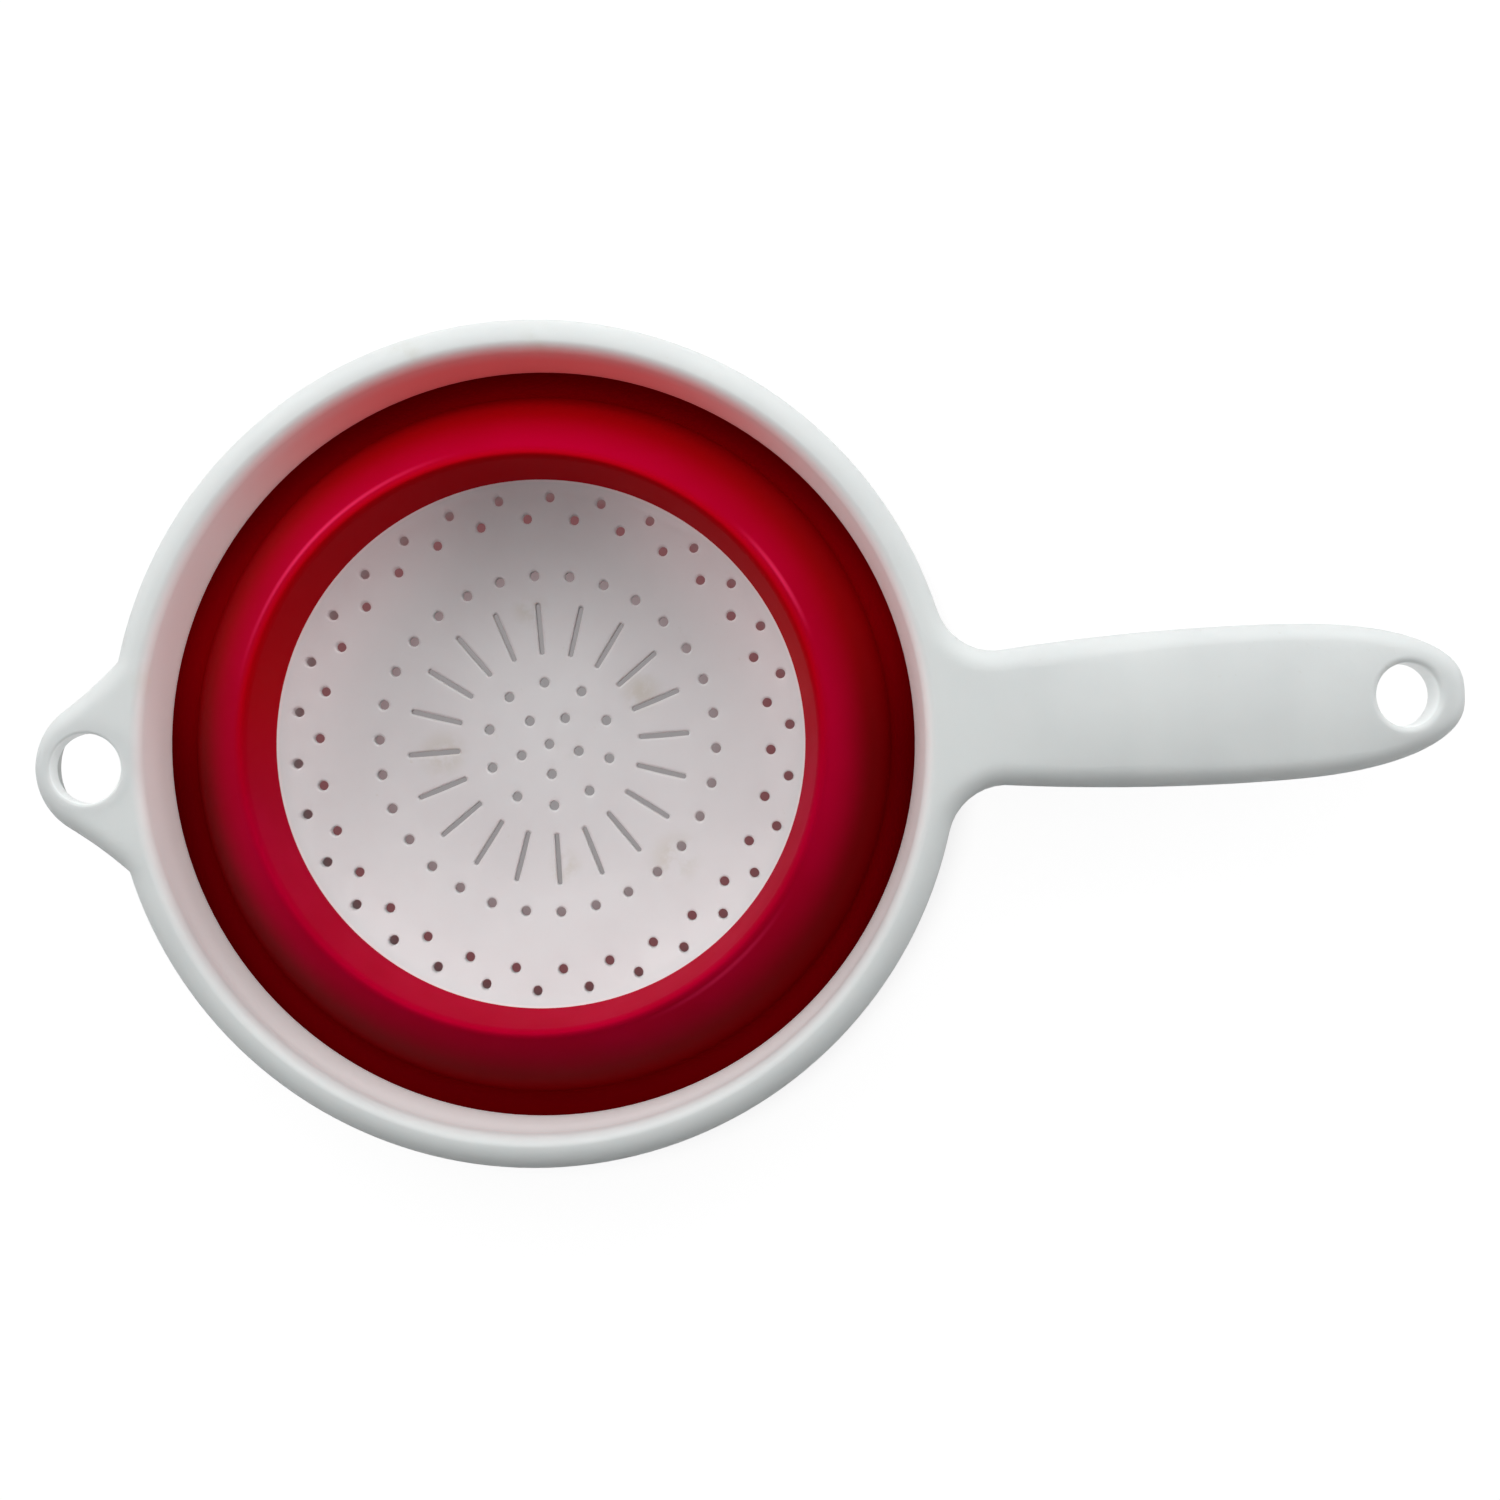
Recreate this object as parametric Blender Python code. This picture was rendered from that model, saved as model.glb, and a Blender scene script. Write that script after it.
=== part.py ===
"""A collapsible colander, folded flat: a rigid frame with rim, crowned handle and hanging ear, a soft folding wall,
and a rigid strainer base.

Metres, +Z up. The origin is on the surface that the foot ring stands on, at the middle of the overall length. The
handle points along +X. Heights in the sections below are measured from the plane in which the rim is widest, and
radii from the bowl's axis.
"""

import math

import bmesh
import bpy
from mathutils.geometry import tessellate_polygon

# Rim, measured from its widest line
RIM_RADIUS = 0.1000
RIM_WIDTH = 0.0080
RIM_CROWN = 0.0045
RIM_EDGE = 0.0052
RIM_LIP = 0.0070
LIP_DRAFT = 0.0004
MOUTH_ROUND = 0.0022
MOUTH_DROP = 0.0030
FRAME_WALL = 0.0023

# Skirt that carries the soft wall, and the lap joints where the soft wall is moulded on
SKIRT_DEPTH = 0.0154
SKIRT_DRAFT = 0.0007
LAP_HEIGHT = 0.0030
LAP_SKIN = 0.0010
FIT = 0.0003

# Handle
HANDLE_REACH = 0.1193
HANDLE_WIDTH = 0.0372
NECK_WIDTH = 0.0318
NECK_FILLET = 0.0140
BELLY_SHARE = 0.53
END_SHARE = 0.63
END_POWER = 2.75
HANDLE_CROWN = 0.0021
CROWN_START_SHARE = 0.33
BOSS_RISE_SHARE = 0.55
HANDLE_HOLE_RADIUS = 0.0074
HANDLE_HOLE_INSET = 0.0151
HANDLE_HOLE_DEPTH = 0.0090
RIB_WALL = 0.0012
RIB_DEPTH = 0.0070
RIB_PLACE_SHARES = (0.16, 0.32, 0.48, 0.64)

# Hanging ear, opposite the handle
EAR_REACH = 0.0175
EAR_ROOT_WIDTH = 0.0496
EAR_TIP_RADIUS = 0.0170
EAR_HOLE_RADIUS = 0.0082
EAR_HOLE_INSET = 0.0130
EAR_HOLE_DEPTH = 0.0050
HOLE_ROUND = 0.0014

# Soft wall, from the skirt inwards
WALL = 0.0018
VALLEY_RUN = 0.0043
VALLEY_DROP = 0.0028
VALLEY_TURN = 0.0014
VALLEY_LIFT = 0.0012
FOLD_WIDTH = 0.0166
FOLD_RISE = 0.0228
FOLD_ARC_DEG = 36
FOLD_HOOPS = 8
CREST_WIDTH = 0.0026
CREST_LIFT = 0.0006
CREST_DROP = 0.0020
LOWER_HEIGHT = 0.0172
LOWER_LEAN = 0.0022

# Strainer base
CUP_DEPTH = 0.0159
FLOOR_RADIUS = 0.0365
PLATE = 0.0020
FOOT_HEIGHT = 0.0030
FOOT_WALL = 0.0022
FOOT_OUTSET = 0.0020
FOOT_GAPS = 6
FOOT_GAP_WIDTH = 0.0080
BASE_CLOCK_DEG = 1.4

# The cup's side, from the floor's edge to the cup's edge: share of the run outwards, share of the depth
CUP_SIDE_SHARES = (
    (0.00, 0.00),
    (0.12, 0.09),
    (0.25, 0.20),
    (0.45, 0.35),
    (0.70, 0.52),
    (0.87, 0.69),
    (0.96, 0.85),
    (1.00, 1.00),
)

# Drain holes: radius as a share of the cup's, number in the ring, and turn from the base's own clocking
HOLE_RADIUS = 0.0012
HOLE_SIDES = 6
HOLE_RING_SHARES = (
    (0.000, 1, 0),
    (0.119, 5, -18),
    (0.243, 10, -18),
    (0.659, 30, 6),
    (0.872, 30, 6),
    (0.947, 30, 0),
)
SLOT_COUNT = 20
SLOT_WIDTH = 0.00125
SLOT_END_SHARES = (0.354, 0.5545)
SLOT_CAP_STEPS = 2

# Cutters pass this far beyond what they cut, and joined shapes reach this far into each other
OVERRUN = 0.0010

# Points closer than this are one
MERGE = 0.00001

SEGMENTS = 48
ROUND_STEPS = 3
FILLET_STEPS = 5
END_STEPS = 9
SIDE_STEPS = 5
CROWN_STRIPS = 5
CROWN_STATIONS = 9
BOSS_SEGMENTS = 24
SMOOTH_ANGLE_DEG = 32

WHITE = (0.80, 0.82, 0.81)
WHITE_ROUGHNESS = 0.38
RED = (0.42, 0.004, 0.022)
RED_ROUGHNESS = 0.45

# Radii that follow, from the rim inwards
MOUTH_RADIUS = RIM_RADIUS - RIM_WIDTH
SKIRT_RADIUS = MOUTH_RADIUS - SKIRT_DRAFT
VALLEY_RADIUS = SKIRT_RADIUS - VALLEY_RUN
FOLD_OUTER = VALLEY_RADIUS - VALLEY_TURN
FOLD_INNER = FOLD_OUTER - FOLD_WIDTH
LOWER_RADIUS = FOLD_INNER - CREST_WIDTH
CUP_RADIUS = LOWER_RADIUS - LOWER_LEAN

# Heights that follow, from the rim down
SKIRT_FOOT = -SKIRT_DEPTH
VALLEY_FLOOR = SKIRT_FOOT - VALLEY_DROP
FOLD_FOOT = VALLEY_FLOOR + VALLEY_LIFT
FOLD_TOP = FOLD_FOOT + FOLD_RISE
CREST = FOLD_TOP + CREST_LIFT
CUP_EDGE = CREST - LOWER_HEIGHT
FLOOR = CUP_EDGE - CUP_DEPTH
FOOT_FACE = FLOOR - PLATE - FOOT_HEIGHT

HANDLE_TIP = RIM_RADIUS + HANDLE_REACH
EAR_TIP = RIM_RADIUS + EAR_REACH
HANDLE_HOLE_X = HANDLE_TIP - HANDLE_HOLE_INSET
EAR_HOLE_X = EAR_HOLE_INSET - EAR_TIP
UNDERSIDE = RIM_CROWN - FRAME_WALL
BOWL_X = (EAR_TIP - HANDLE_TIP) / 2
TONGUE_WALL = FRAME_WALL - LAP_SKIN - FIT


def clear_scene():
    for item in list(bpy.data.objects):
        bpy.data.objects.remove(item, do_unlink=True)


def plastic(name, colour, roughness):
    """A plain moulded plastic of this colour."""
    material = bpy.data.materials.new(name)
    material.use_nodes = True
    shader = material.node_tree.nodes["Principled BSDF"]
    shader.inputs["Base Color"].default_value = (*colour, 1)
    shader.inputs["Roughness"].default_value = roughness
    shader.inputs["Metallic"].default_value = 0
    return material


def axis_empty():
    """The bowl's axis, which is the joint axis of every sliding piece."""
    empty = bpy.data.objects.new("bowl_axis", None)
    empty.location = (BOWL_X, 0, -FOOT_FACE)
    bpy.context.collection.objects.link(empty)
    return empty


def add_object(name, bm, axis, material=None):
    """The finished mesh as an object on the bowl's axis, with its faces turned outwards."""
    bmesh.ops.recalc_face_normals(bm, faces=bm.faces)
    mesh = bpy.data.meshes.new(name)
    bm.to_mesh(mesh)
    bm.free()
    made = bpy.data.objects.new(name, mesh)
    made.parent = axis
    bpy.context.collection.objects.link(made)
    if material:
        mesh.materials.append(material)
        mesh.shade_smooth()
        mesh.set_sharp_from_angle(angle=math.radians(SMOOTH_ANGLE_DEG))
    else:
        made.hide_render = True
        made.display_type = "WIRE"
    return made


def combine(target, other, operation):
    modifier = target.modifiers.new(other.name, "BOOLEAN")
    modifier.object = other
    modifier.operation = operation
    modifier.solver = "EXACT"


def polar(radius, angle):
    return (radius * math.cos(angle), radius * math.sin(angle))


def circle(radius, segments=SEGMENTS):
    return [polar(radius, math.tau * i / segments) for i in range(segments)]


def quarter(run, rise, steps=ROUND_STEPS):
    """Points of a quarter ellipse from (0, 0), upright at first and level at (run, rise)."""
    turns = [math.radians(90) * i / steps for i in range(steps + 1)]
    return [(run * (1 - math.cos(turn)), rise * math.sin(turn)) for turn in turns]


def between(points, place):
    """The height at this place on a line of (place, height) points."""
    for (x0, z0), (x1, z1) in zip(points, points[1:]):
        if x0 <= place <= x1:
            return z0 + (z1 - z0) * (place - x0) / (x1 - x0)
    raise ValueError(f"{place} is off the line")


def turned(section):
    """A closed section of (radius, height) points, turned about the axis."""
    bm = bmesh.new()
    corners = [bm.verts.new((radius, 0, height)) for radius, height in section]
    sides = [bm.edges.new(pair) for pair in zip(corners, corners[1:] + corners[:1])]
    bmesh.ops.spin(
        bm,
        geom=corners + sides,
        cent=(0, 0, 0),
        axis=(0, 0, 1),
        angle=math.tau,
        steps=SEGMENTS,
        use_merge=True,
    )
    return bm


def loop_at(bm, points, height):
    return [bm.verts.new((x, y, height)) for x, y in points]


def join_loops(bm, first, second):
    """Quads from one loop to the next, which has as many points."""
    count = len(first)
    for i in range(count):
        j = (i + 1) % count
        bm.faces.new((first[i], first[j], second[j], second[i]))


def fill_between(bm, outer, inner):
    """Triangles on a level face between an outer loop and an inner one."""
    corners = outer + inner
    for a, b, c in tessellate_polygon([[v.co for v in outer], [v.co for v in inner]]):
        bm.faces.new((corners[a], corners[b], corners[c]))


def prism(bm, outline, low, high):
    """An upright prism on a level outline."""
    bottom = loop_at(bm, outline, low)
    top = loop_at(bm, outline, high)
    join_loops(bm, bottom, top)
    bm.faces.new(bottom)
    bm.faces.new(top)


def moved(outline, x, y=0):
    return [(px + x, py + y) for px, py in outline]


def rotated(outline, angle):
    cos, sin = math.cos(angle), math.sin(angle)
    return [(x * cos - y * sin, x * sin + y * cos) for x, y in outline]


def rectangle(length, width):
    x, y = length / 2, width / 2
    return [(-x, -y), (x, -y), (x, y), (-x, y)]


# Plan outline of the frame


def handle_half_width(x):
    """Half the handle's width between neck and tip: narrow at the neck, widest at the belly."""
    belly_x = RIM_RADIUS + HANDLE_REACH * BELLY_SHARE
    neck_x = neck_centre()[0]
    waist = (HANDLE_WIDTH - NECK_WIDTH) / HANDLE_WIDTH
    return HANDLE_WIDTH / 2 * (1 - waist * ((belly_x - x) / (belly_x - neck_x)) ** 2)


def neck_centre():
    """The centre of the fillet between the handle's side and the rim."""
    y = NECK_WIDTH / 2 + NECK_FILLET
    return math.sqrt((RIM_RADIUS + NECK_FILLET) ** 2 - y**2), y


def handle_side():
    """From the tip along one side to the neck."""
    end_x = RIM_RADIUS + HANDLE_REACH * END_SHARE
    points = []
    for i in range(END_STEPS):
        turn = math.radians(90) * i / END_STEPS
        x = end_x + (HANDLE_TIP - end_x) * math.cos(turn) ** (2 / END_POWER)
        points.append((x, handle_half_width(x) * math.sin(turn) ** (2 / END_POWER)))
    neck_x = neck_centre()[0]
    for i in range(SIDE_STEPS):
        x = end_x + (neck_x - end_x) * i / SIDE_STEPS
        points.append((x, handle_half_width(x)))
    return points


def neck_fillet():
    x, y = neck_centre()
    start, end = -math.pi / 2, math.atan2(y, x) - math.pi
    turns = [start + (end - start) * i / FILLET_STEPS for i in range(FILLET_STEPS + 1)]
    return moved([polar(NECK_FILLET, turn) for turn in turns], x, y)


def rim_arc():
    """The rim's widest line between the neck and the ear, on the same spokes as the bowl."""
    x, y = neck_centre()
    start = math.atan2(y, x)
    end = math.pi - math.asin(EAR_ROOT_WIDTH / 2 / RIM_RADIUS)
    spoke = math.tau / SEGMENTS
    spokes = [i * spoke for i in range(SEGMENTS)]
    kept = [turn for turn in spokes if start + spoke / 2 < turn < end - spoke / 2]
    return [polar(RIM_RADIUS, turn) for turn in [*kept, end]]


def ear_side():
    """The ear's tip arc, from where the straight flare touches it to the tip."""
    root_x, root_y = rim_arc()[-1]
    centre_x = EAR_TIP_RADIUS - EAR_TIP
    distance = math.hypot(root_x - centre_x, root_y)
    start = math.atan2(root_y, root_x - centre_x) + math.acos(EAR_TIP_RADIUS / distance)
    turns = [start + (math.pi - start) * i / FILLET_STEPS for i in range(FILLET_STEPS)]
    return [*moved([polar(EAR_TIP_RADIUS, turn) for turn in turns], centre_x), (-EAR_TIP, 0)]


def frame_outline():
    """The frame seen from above, anticlockwise from the handle's tip."""
    half = handle_side() + neck_fillet() + rim_arc() + ear_side()
    return half + [(x, -y) for x, y in reversed(half[1:-1])]


def inset(outline, distance):
    """The outline moved inwards, each corner along the line that halves it."""
    made = []
    count = len(outline)
    for i, (x, y) in enumerate(outline):
        ax, ay = outline[i - 1]
        bx, by = outline[(i + 1) % count]
        before = math.atan2(y - ay, x - ax)
        after = math.atan2(by - y, bx - x)
        turn = math.remainder(after - before, math.tau) / 2
        reach = distance / math.cos(turn)
        direction = before + turn + math.pi / 2
        made.append((x + reach * math.cos(direction), y + reach * math.sin(direction)))
    return made


# Frame


def eased(share):
    """A smooth step from 0 to 1."""
    share = min(max(share, 0), 1)
    return share * share * (3 - 2 * share)


def crown_lift(x, y):
    """How far the handle's top stands over a level plate: nothing at its sides, at the rim and at the tip."""
    end_x = RIM_RADIUS + HANDLE_REACH * END_SHARE
    along = min(max((x - end_x) / (HANDLE_TIP - end_x), 0), 1)
    half = handle_half_width(x) * (1 - along**END_POWER) ** (1 / END_POWER)
    if x <= RIM_RADIUS or abs(y) >= half:
        return 0
    rise = eased((x - RIM_RADIUS) / (HANDLE_REACH * CROWN_START_SHARE))
    fall = 1 - eased((x - HANDLE_HOLE_X) / HANDLE_HOLE_INSET)
    return HANDLE_CROWN * (1 - (y / half) ** 2) * rise * fall


def cut_across(bm, faces, place, way):
    """Cuts these faces along a plane through a place, and gives the faces that come of it."""
    parts = [item for face in faces for item in (face, *face.edges, *face.verts)]
    geometry = list(dict.fromkeys(parts))
    cut = bmesh.ops.bisect_plane(bm, geom=geometry, dist=MERGE, plane_co=place, plane_no=way)
    return [item for item in cut["geom"] if isinstance(item, bmesh.types.BMFace)]


def crown_handle(bm):
    """Cuts the handle's top plate, above and below, into cells and lifts it into its crown."""
    for level in (UNDERSIDE, RIM_CROWN):
        plate = [
            face for face in bm.faces
            if max(abs(vert.co.z - level) for vert in face.verts) < MERGE
            and max(vert.co.x for vert in face.verts) > RIM_RADIUS
        ]
        plate = cut_across(bm, plate, (RIM_RADIUS, 0, 0), (1, 0, 0))
        plate = [face for face in plate if face.calc_center_median().x > RIM_RADIUS]
        cells = bmesh.ops.dissolve_faces(bm, faces=plate)["region"]
        for i in range(1, CROWN_STRIPS):
            cells = cut_across(bm, cells, (0, HANDLE_WIDTH * (i / CROWN_STRIPS - 1 / 2), 0), (0, 1, 0))
        for i in range(1, CROWN_STATIONS):
            cells = cut_across(bm, cells, (RIM_RADIUS + HANDLE_REACH * i / CROWN_STATIONS, 0, 0), (1, 0, 0))
    for vert in bm.verts:
        if vert.co.z > 0:
            vert.co.z += crown_lift(vert.co.x, vert.co.y)
    curved = [face for face in bm.faces if max(vert.co.x for vert in face.verts) > RIM_RADIUS]
    bmesh.ops.triangulate(bm, faces=curved)


def frame_shell():
    """Rim, handle and ear as one shell, open below, with the skirt that the soft wall is moulded onto."""
    bm = bmesh.new()
    outline = frame_outline()
    edge = quarter(RIM_EDGE, RIM_CROWN)
    outer = [loop_at(bm, inset(outline, LIP_DRAFT), -RIM_LIP)]
    outer += [loop_at(bm, inset(outline, run), rise) for run, rise in edge]
    lip_inner = inset(outline, FRAME_WALL)
    under = [loop_at(bm, lip_inner, -RIM_LIP), loop_at(bm, lip_inner, UNDERSIDE)]

    lap_face = SKIRT_RADIUS + LAP_SKIN + FIT
    tongue_foot = SKIRT_FOOT - LAP_HEIGHT
    mouth = quarter(MOUTH_ROUND, MOUTH_DROP)
    section = [
        (MOUTH_RADIUS + FRAME_WALL, UNDERSIDE),
        (lap_face + TONGUE_WALL, SKIRT_FOOT),
        (lap_face + TONGUE_WALL, tongue_foot),
        (lap_face, tongue_foot),
        (lap_face, SKIRT_FOOT),
        (SKIRT_RADIUS, SKIRT_FOOT),
    ]
    section += [(MOUTH_RADIUS + run, RIM_CROWN - MOUTH_DROP + rise) for run, rise in mouth]
    inner = [loop_at(bm, circle(radius), height) for radius, height in section]

    for loops in (outer, under, inner):
        for first, second in zip(loops, loops[1:]):
            join_loops(bm, first, second)
    join_loops(bm, outer[0], under[0])
    fill_between(bm, outer[-1], inner[-1])
    fill_between(bm, under[-1], inner[0])
    crown_handle(bm)
    return bm


def hole_boss(bm, x, radius, depth):
    """The wall round a hanging hole, from inside the top plate down."""
    outline = moved(circle(radius + FRAME_WALL, BOSS_SEGMENTS), x)
    rise = BOSS_RISE_SHARE * crown_lift(x, 0)
    prism(bm, outline, RIM_CROWN - depth, RIM_CROWN - FRAME_WALL / 2 + rise)


def handle_ribs(bm):
    """Arched cross ribs under the handle, let into its side walls and its top plate."""
    top = RIM_CROWN - FRAME_WALL / 2
    foot = top - RIB_DEPTH
    for share in RIB_PLACE_SHARES:
        x = RIM_RADIUS + HANDLE_REACH * share
        half = handle_half_width(x)
        side, shoulder = half - FRAME_WALL / 2, half - RIM_EDGE
        places = [shoulder * (1 - 2 * i / CROWN_STRIPS) for i in range(CROWN_STRIPS + 1)]
        arch = [(y, top + crown_lift(x, y)) for y in places]
        outline = [(-side, RIM_CROWN / 2), (-side, foot), (side, foot), (side, RIM_CROWN / 2), *arch]
        near, far = (
            [bm.verts.new((x + thickness, y, z)) for y, z in outline]
            for thickness in (-RIB_WALL / 2, RIB_WALL / 2)
        )
        join_loops(bm, near, far)
        bm.faces.new(near)
        bm.faces.new(far)


def hanging_hole(bm, x, radius, depth):
    """A hole whose rounded upper edge follows the plate, as a cutter."""
    edge = quarter(HOLE_ROUND, HOLE_ROUND)
    start = RIM_CROWN - HOLE_ROUND
    levels = [(radius, RIM_CROWN - depth - OVERRUN)]
    levels += [(radius + run, start + rise) for run, rise in edge]
    levels += [(radius + HOLE_ROUND, RIM_CROWN + HANDLE_CROWN + OVERRUN)]
    loops = [
        loop_at(bm, moved(circle(r, BOSS_SEGMENTS), x), height) for r, height in levels
    ]
    for vert in (vert for loop in loops[1:-1] for vert in loop):
        vert.co.z += crown_lift(vert.co.x, vert.co.y)
    for first, second in zip(loops, loops[1:]):
        join_loops(bm, first, second)
    bm.faces.new(loops[0])
    bm.faces.new(loops[-1])


def build_frame(axis):
    frame = add_object("frame", frame_shell(), axis, plastic("frame", WHITE, WHITE_ROUGHNESS))
    bosses = bmesh.new()
    hole_boss(bosses, HANDLE_HOLE_X, HANDLE_HOLE_RADIUS, HANDLE_HOLE_DEPTH)
    hole_boss(bosses, EAR_HOLE_X, EAR_HOLE_RADIUS, EAR_HOLE_DEPTH)
    handle_ribs(bosses)
    holes = bmesh.new()
    hanging_hole(holes, HANDLE_HOLE_X, HANDLE_HOLE_RADIUS, HANDLE_HOLE_DEPTH)
    hanging_hole(holes, EAR_HOLE_X, EAR_HOLE_RADIUS, EAR_HOLE_DEPTH)
    combine(frame, add_object("frame_bosses", bosses, axis), "UNION")
    combine(frame, add_object("frame_holes", holes, axis), "DIFFERENCE")


# Soft wall


def fold_circle():
    """Centre and radius of the arc that the folding band follows, steep at its foot and flatter at its crest."""
    turn = math.radians(FOLD_ARC_DEG) / 2
    radius = math.hypot(FOLD_WIDTH, FOLD_RISE) / (2 * math.sin(turn))
    slope = math.atan2(FOLD_RISE, FOLD_WIDTH) + turn
    return (
        FOLD_OUTER - radius * math.sin(slope),
        FOLD_FOOT - radius * math.cos(slope),
        radius,
    )


def fold_radius(height):
    """Radius of the band's upper face at this height."""
    centre, level, radius = fold_circle()
    return centre + math.sqrt(radius**2 - (height - level) ** 2)


def fold_faces(radius):
    """Heights of the band's lower and upper face at this radius. The lower one stays level with the valley's."""
    centre, level, arc = fold_circle()
    above = math.sqrt(arc**2 - (radius - centre) ** 2)
    upper = level + above
    return max(upper - WALL * arc / above, VALLEY_FLOOR - WALL), upper


def build_wall_upper(axis):
    """The lap on the skirt and the valley, which stay with the frame."""
    lap_face = SKIRT_RADIUS + LAP_SKIN
    outer_face = lap_face + FIT + TONGUE_WALL
    shelf = SKIRT_FOOT - LAP_HEIGHT - FIT
    edge = FOLD_OUTER + FIT / 2
    lower, upper = fold_faces(edge)
    bend = quarter(VALLEY_DROP - FIT, VALLEY_RUN)
    section = [(VALLEY_RADIUS + run, VALLEY_FLOOR + rise) for rise, run in bend]
    section += [
        (lap_face, SKIRT_FOOT - FIT),
        (lap_face, shelf),
        (outer_face, shelf),
        (outer_face, shelf - WALL / 2),
        (lap_face, VALLEY_FLOOR - WALL),
        (edge, lower),
        (edge, upper),
        ((edge + VALLEY_RADIUS) / 2, (VALLEY_FLOOR + upper) / 2 - FIT),
    ]
    add_object("wall_upper", turned(section), axis, plastic("wall_upper", RED, RED_ROUGHNESS))


def build_fold_hoops(axis):
    """The folding band, cut into hoops of equal rise that pass each other as the wall turns inside out."""
    for i in range(FOLD_HOOPS):
        outer = fold_radius(FOLD_FOOT + FOLD_RISE * i / FOLD_HOOPS) - FIT / 2
        inner = fold_radius(FOLD_FOOT + FOLD_RISE * (i + 1) / FOLD_HOOPS) + FIT / 2
        outer_low, outer_high = fold_faces(outer)
        inner_low, inner_high = fold_faces(inner)
        section = [
            (outer, outer_high),
            (outer, outer_low),
            (inner, inner_low),
            (inner, inner_high),
        ]
        name = f"wall_fold_{i + 1}"
        add_object(name, turned(section), axis, plastic(name, RED, RED_ROUGHNESS))


def lower_face(height):
    """Radius of the lower band's inner face at this height."""
    top = CREST - CREST_DROP
    foot = CUP_EDGE + FIT
    return CUP_RADIUS + LOWER_LEAN * (height - foot) / (top - foot)


def build_wall_lower(axis):
    """The crest and the steep band under it, which stay with the base."""
    edge = FOLD_INNER - FIT / 2
    lower, upper = fold_faces(edge)
    foot = CUP_EDGE + FIT
    shelf = CUP_EDGE + LAP_HEIGHT + FIT
    top = CREST - CREST_DROP
    run = (edge - LOWER_RADIUS) / 2
    crest = quarter(run, CREST_DROP)
    section = [
        (edge, lower),
        (edge, upper),
        (LOWER_RADIUS + run, CREST),
    ]
    section += [(LOWER_RADIUS + step, top + rise) for step, rise in reversed(crest[:-1])]
    section += [
        (lower_face(foot), foot),
        (lower_face(foot) + LAP_SKIN, foot),
        (lower_face(shelf) + LAP_SKIN, shelf),
        (lower_face(shelf) + WALL, shelf),
        (LOWER_RADIUS + WALL, top - WALL / 2),
    ]
    add_object("wall_lower", turned(section), axis, plastic("wall_lower", RED, RED_ROUGHNESS))


# Strainer base


def cup_side():
    """The upper face of the cup's side, from the floor's edge outwards."""
    run = CUP_RADIUS - FLOOR_RADIUS
    return [(FLOOR_RADIUS + run * x, FLOOR + CUP_DEPTH * z) for x, z in CUP_SIDE_SHARES]


def cup_under():
    """The lower face, one plate thickness under the upper one."""
    points = cup_side()
    before = [(0, FLOOR), *points[:-1]]
    after = [*points[1:], points[-1]]
    made = []
    for (ax, az), (x, z), (bx, bz) in zip(before, points, after):
        slope = math.atan2(bz - az, bx - ax)
        made.append((x + PLATE * math.sin(slope), z - PLATE * math.cos(slope)))
    return [(FLOOR_RADIUS, FLOOR - PLATE), *made[1:]]


def base_shell():
    """Floor, side, tongue for the soft wall and foot ring as one turned shell."""
    under = cup_under()
    foot_inner = FLOOR_RADIUS + FOOT_OUTSET - FOOT_WALL / 2
    foot_outer = foot_inner + FOOT_WALL
    tongue_top = CUP_EDGE + LAP_HEIGHT
    lap = LAP_SKIN + FIT
    section = cup_side()
    section += [
        (CUP_RADIUS + lap, CUP_EDGE),
        (lower_face(tongue_top) + lap, tongue_top),
        (lower_face(tongue_top) + lap + TONGUE_WALL, tongue_top),
        (CUP_RADIUS + lap + TONGUE_WALL, CUP_EDGE),
    ]
    section += [point for point in reversed(under) if point[0] > foot_outer]
    section += [
        (foot_outer, between(under, foot_outer)),
        (foot_outer, FOOT_FACE),
        (foot_inner, FOOT_FACE),
        (foot_inner, between(under, foot_inner)),
        (FLOOR_RADIUS, FLOOR - PLATE),
    ]
    bm = bmesh.new()
    loops = [loop_at(bm, circle(radius), height) for radius, height in section]
    for first, second in zip(loops, loops[1:]):
        join_loops(bm, first, second)
    bm.faces.new(loops[0])
    bm.faces.new(loops[-1])
    return bm


def slot_outline():
    """One drain slot along +X, with round ends."""
    start, end = (CUP_RADIUS * share for share in SLOT_END_SHARES)
    half = SLOT_WIDTH / 2
    steps = [math.pi * i / SLOT_CAP_STEPS - math.pi / 2 for i in range(SLOT_CAP_STEPS + 1)]
    cap = [polar(half, turn) for turn in steps]
    far = moved(cap, end - half)
    near = moved([(-x, -y) for x, y in cap], start + half)
    return far + near


def perforations():
    """Every drain hole and slot, and the gaps in the foot ring, as upright cutters."""
    bm = bmesh.new()
    low = FOOT_FACE - OVERRUN
    high = CUP_EDGE + OVERRUN
    clock = math.radians(BASE_CLOCK_DEG)
    for share, count, turn in HOLE_RING_SHARES:
        for i in range(count):
            angle = clock + math.radians(turn) + math.tau * i / count
            hole = moved(circle(HOLE_RADIUS, HOLE_SIDES), CUP_RADIUS * share)
            prism(bm, rotated(hole, angle), low, high)
    for i in range(SLOT_COUNT):
        prism(bm, rotated(slot_outline(), clock + math.tau * i / SLOT_COUNT), low, high)
    return bm


def foot_gaps():
    """Gaps that let water out from inside the foot ring."""
    bm = bmesh.new()
    gap = rectangle(FOOT_WALL + OVERRUN, FOOT_GAP_WIDTH)
    for i in range(FOOT_GAPS):
        outline = rotated(moved(gap, FLOOR_RADIUS + FOOT_OUTSET), math.tau * i / FOOT_GAPS)
        prism(bm, outline, FOOT_FACE - OVERRUN, FLOOR - PLATE)
    return bm


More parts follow.
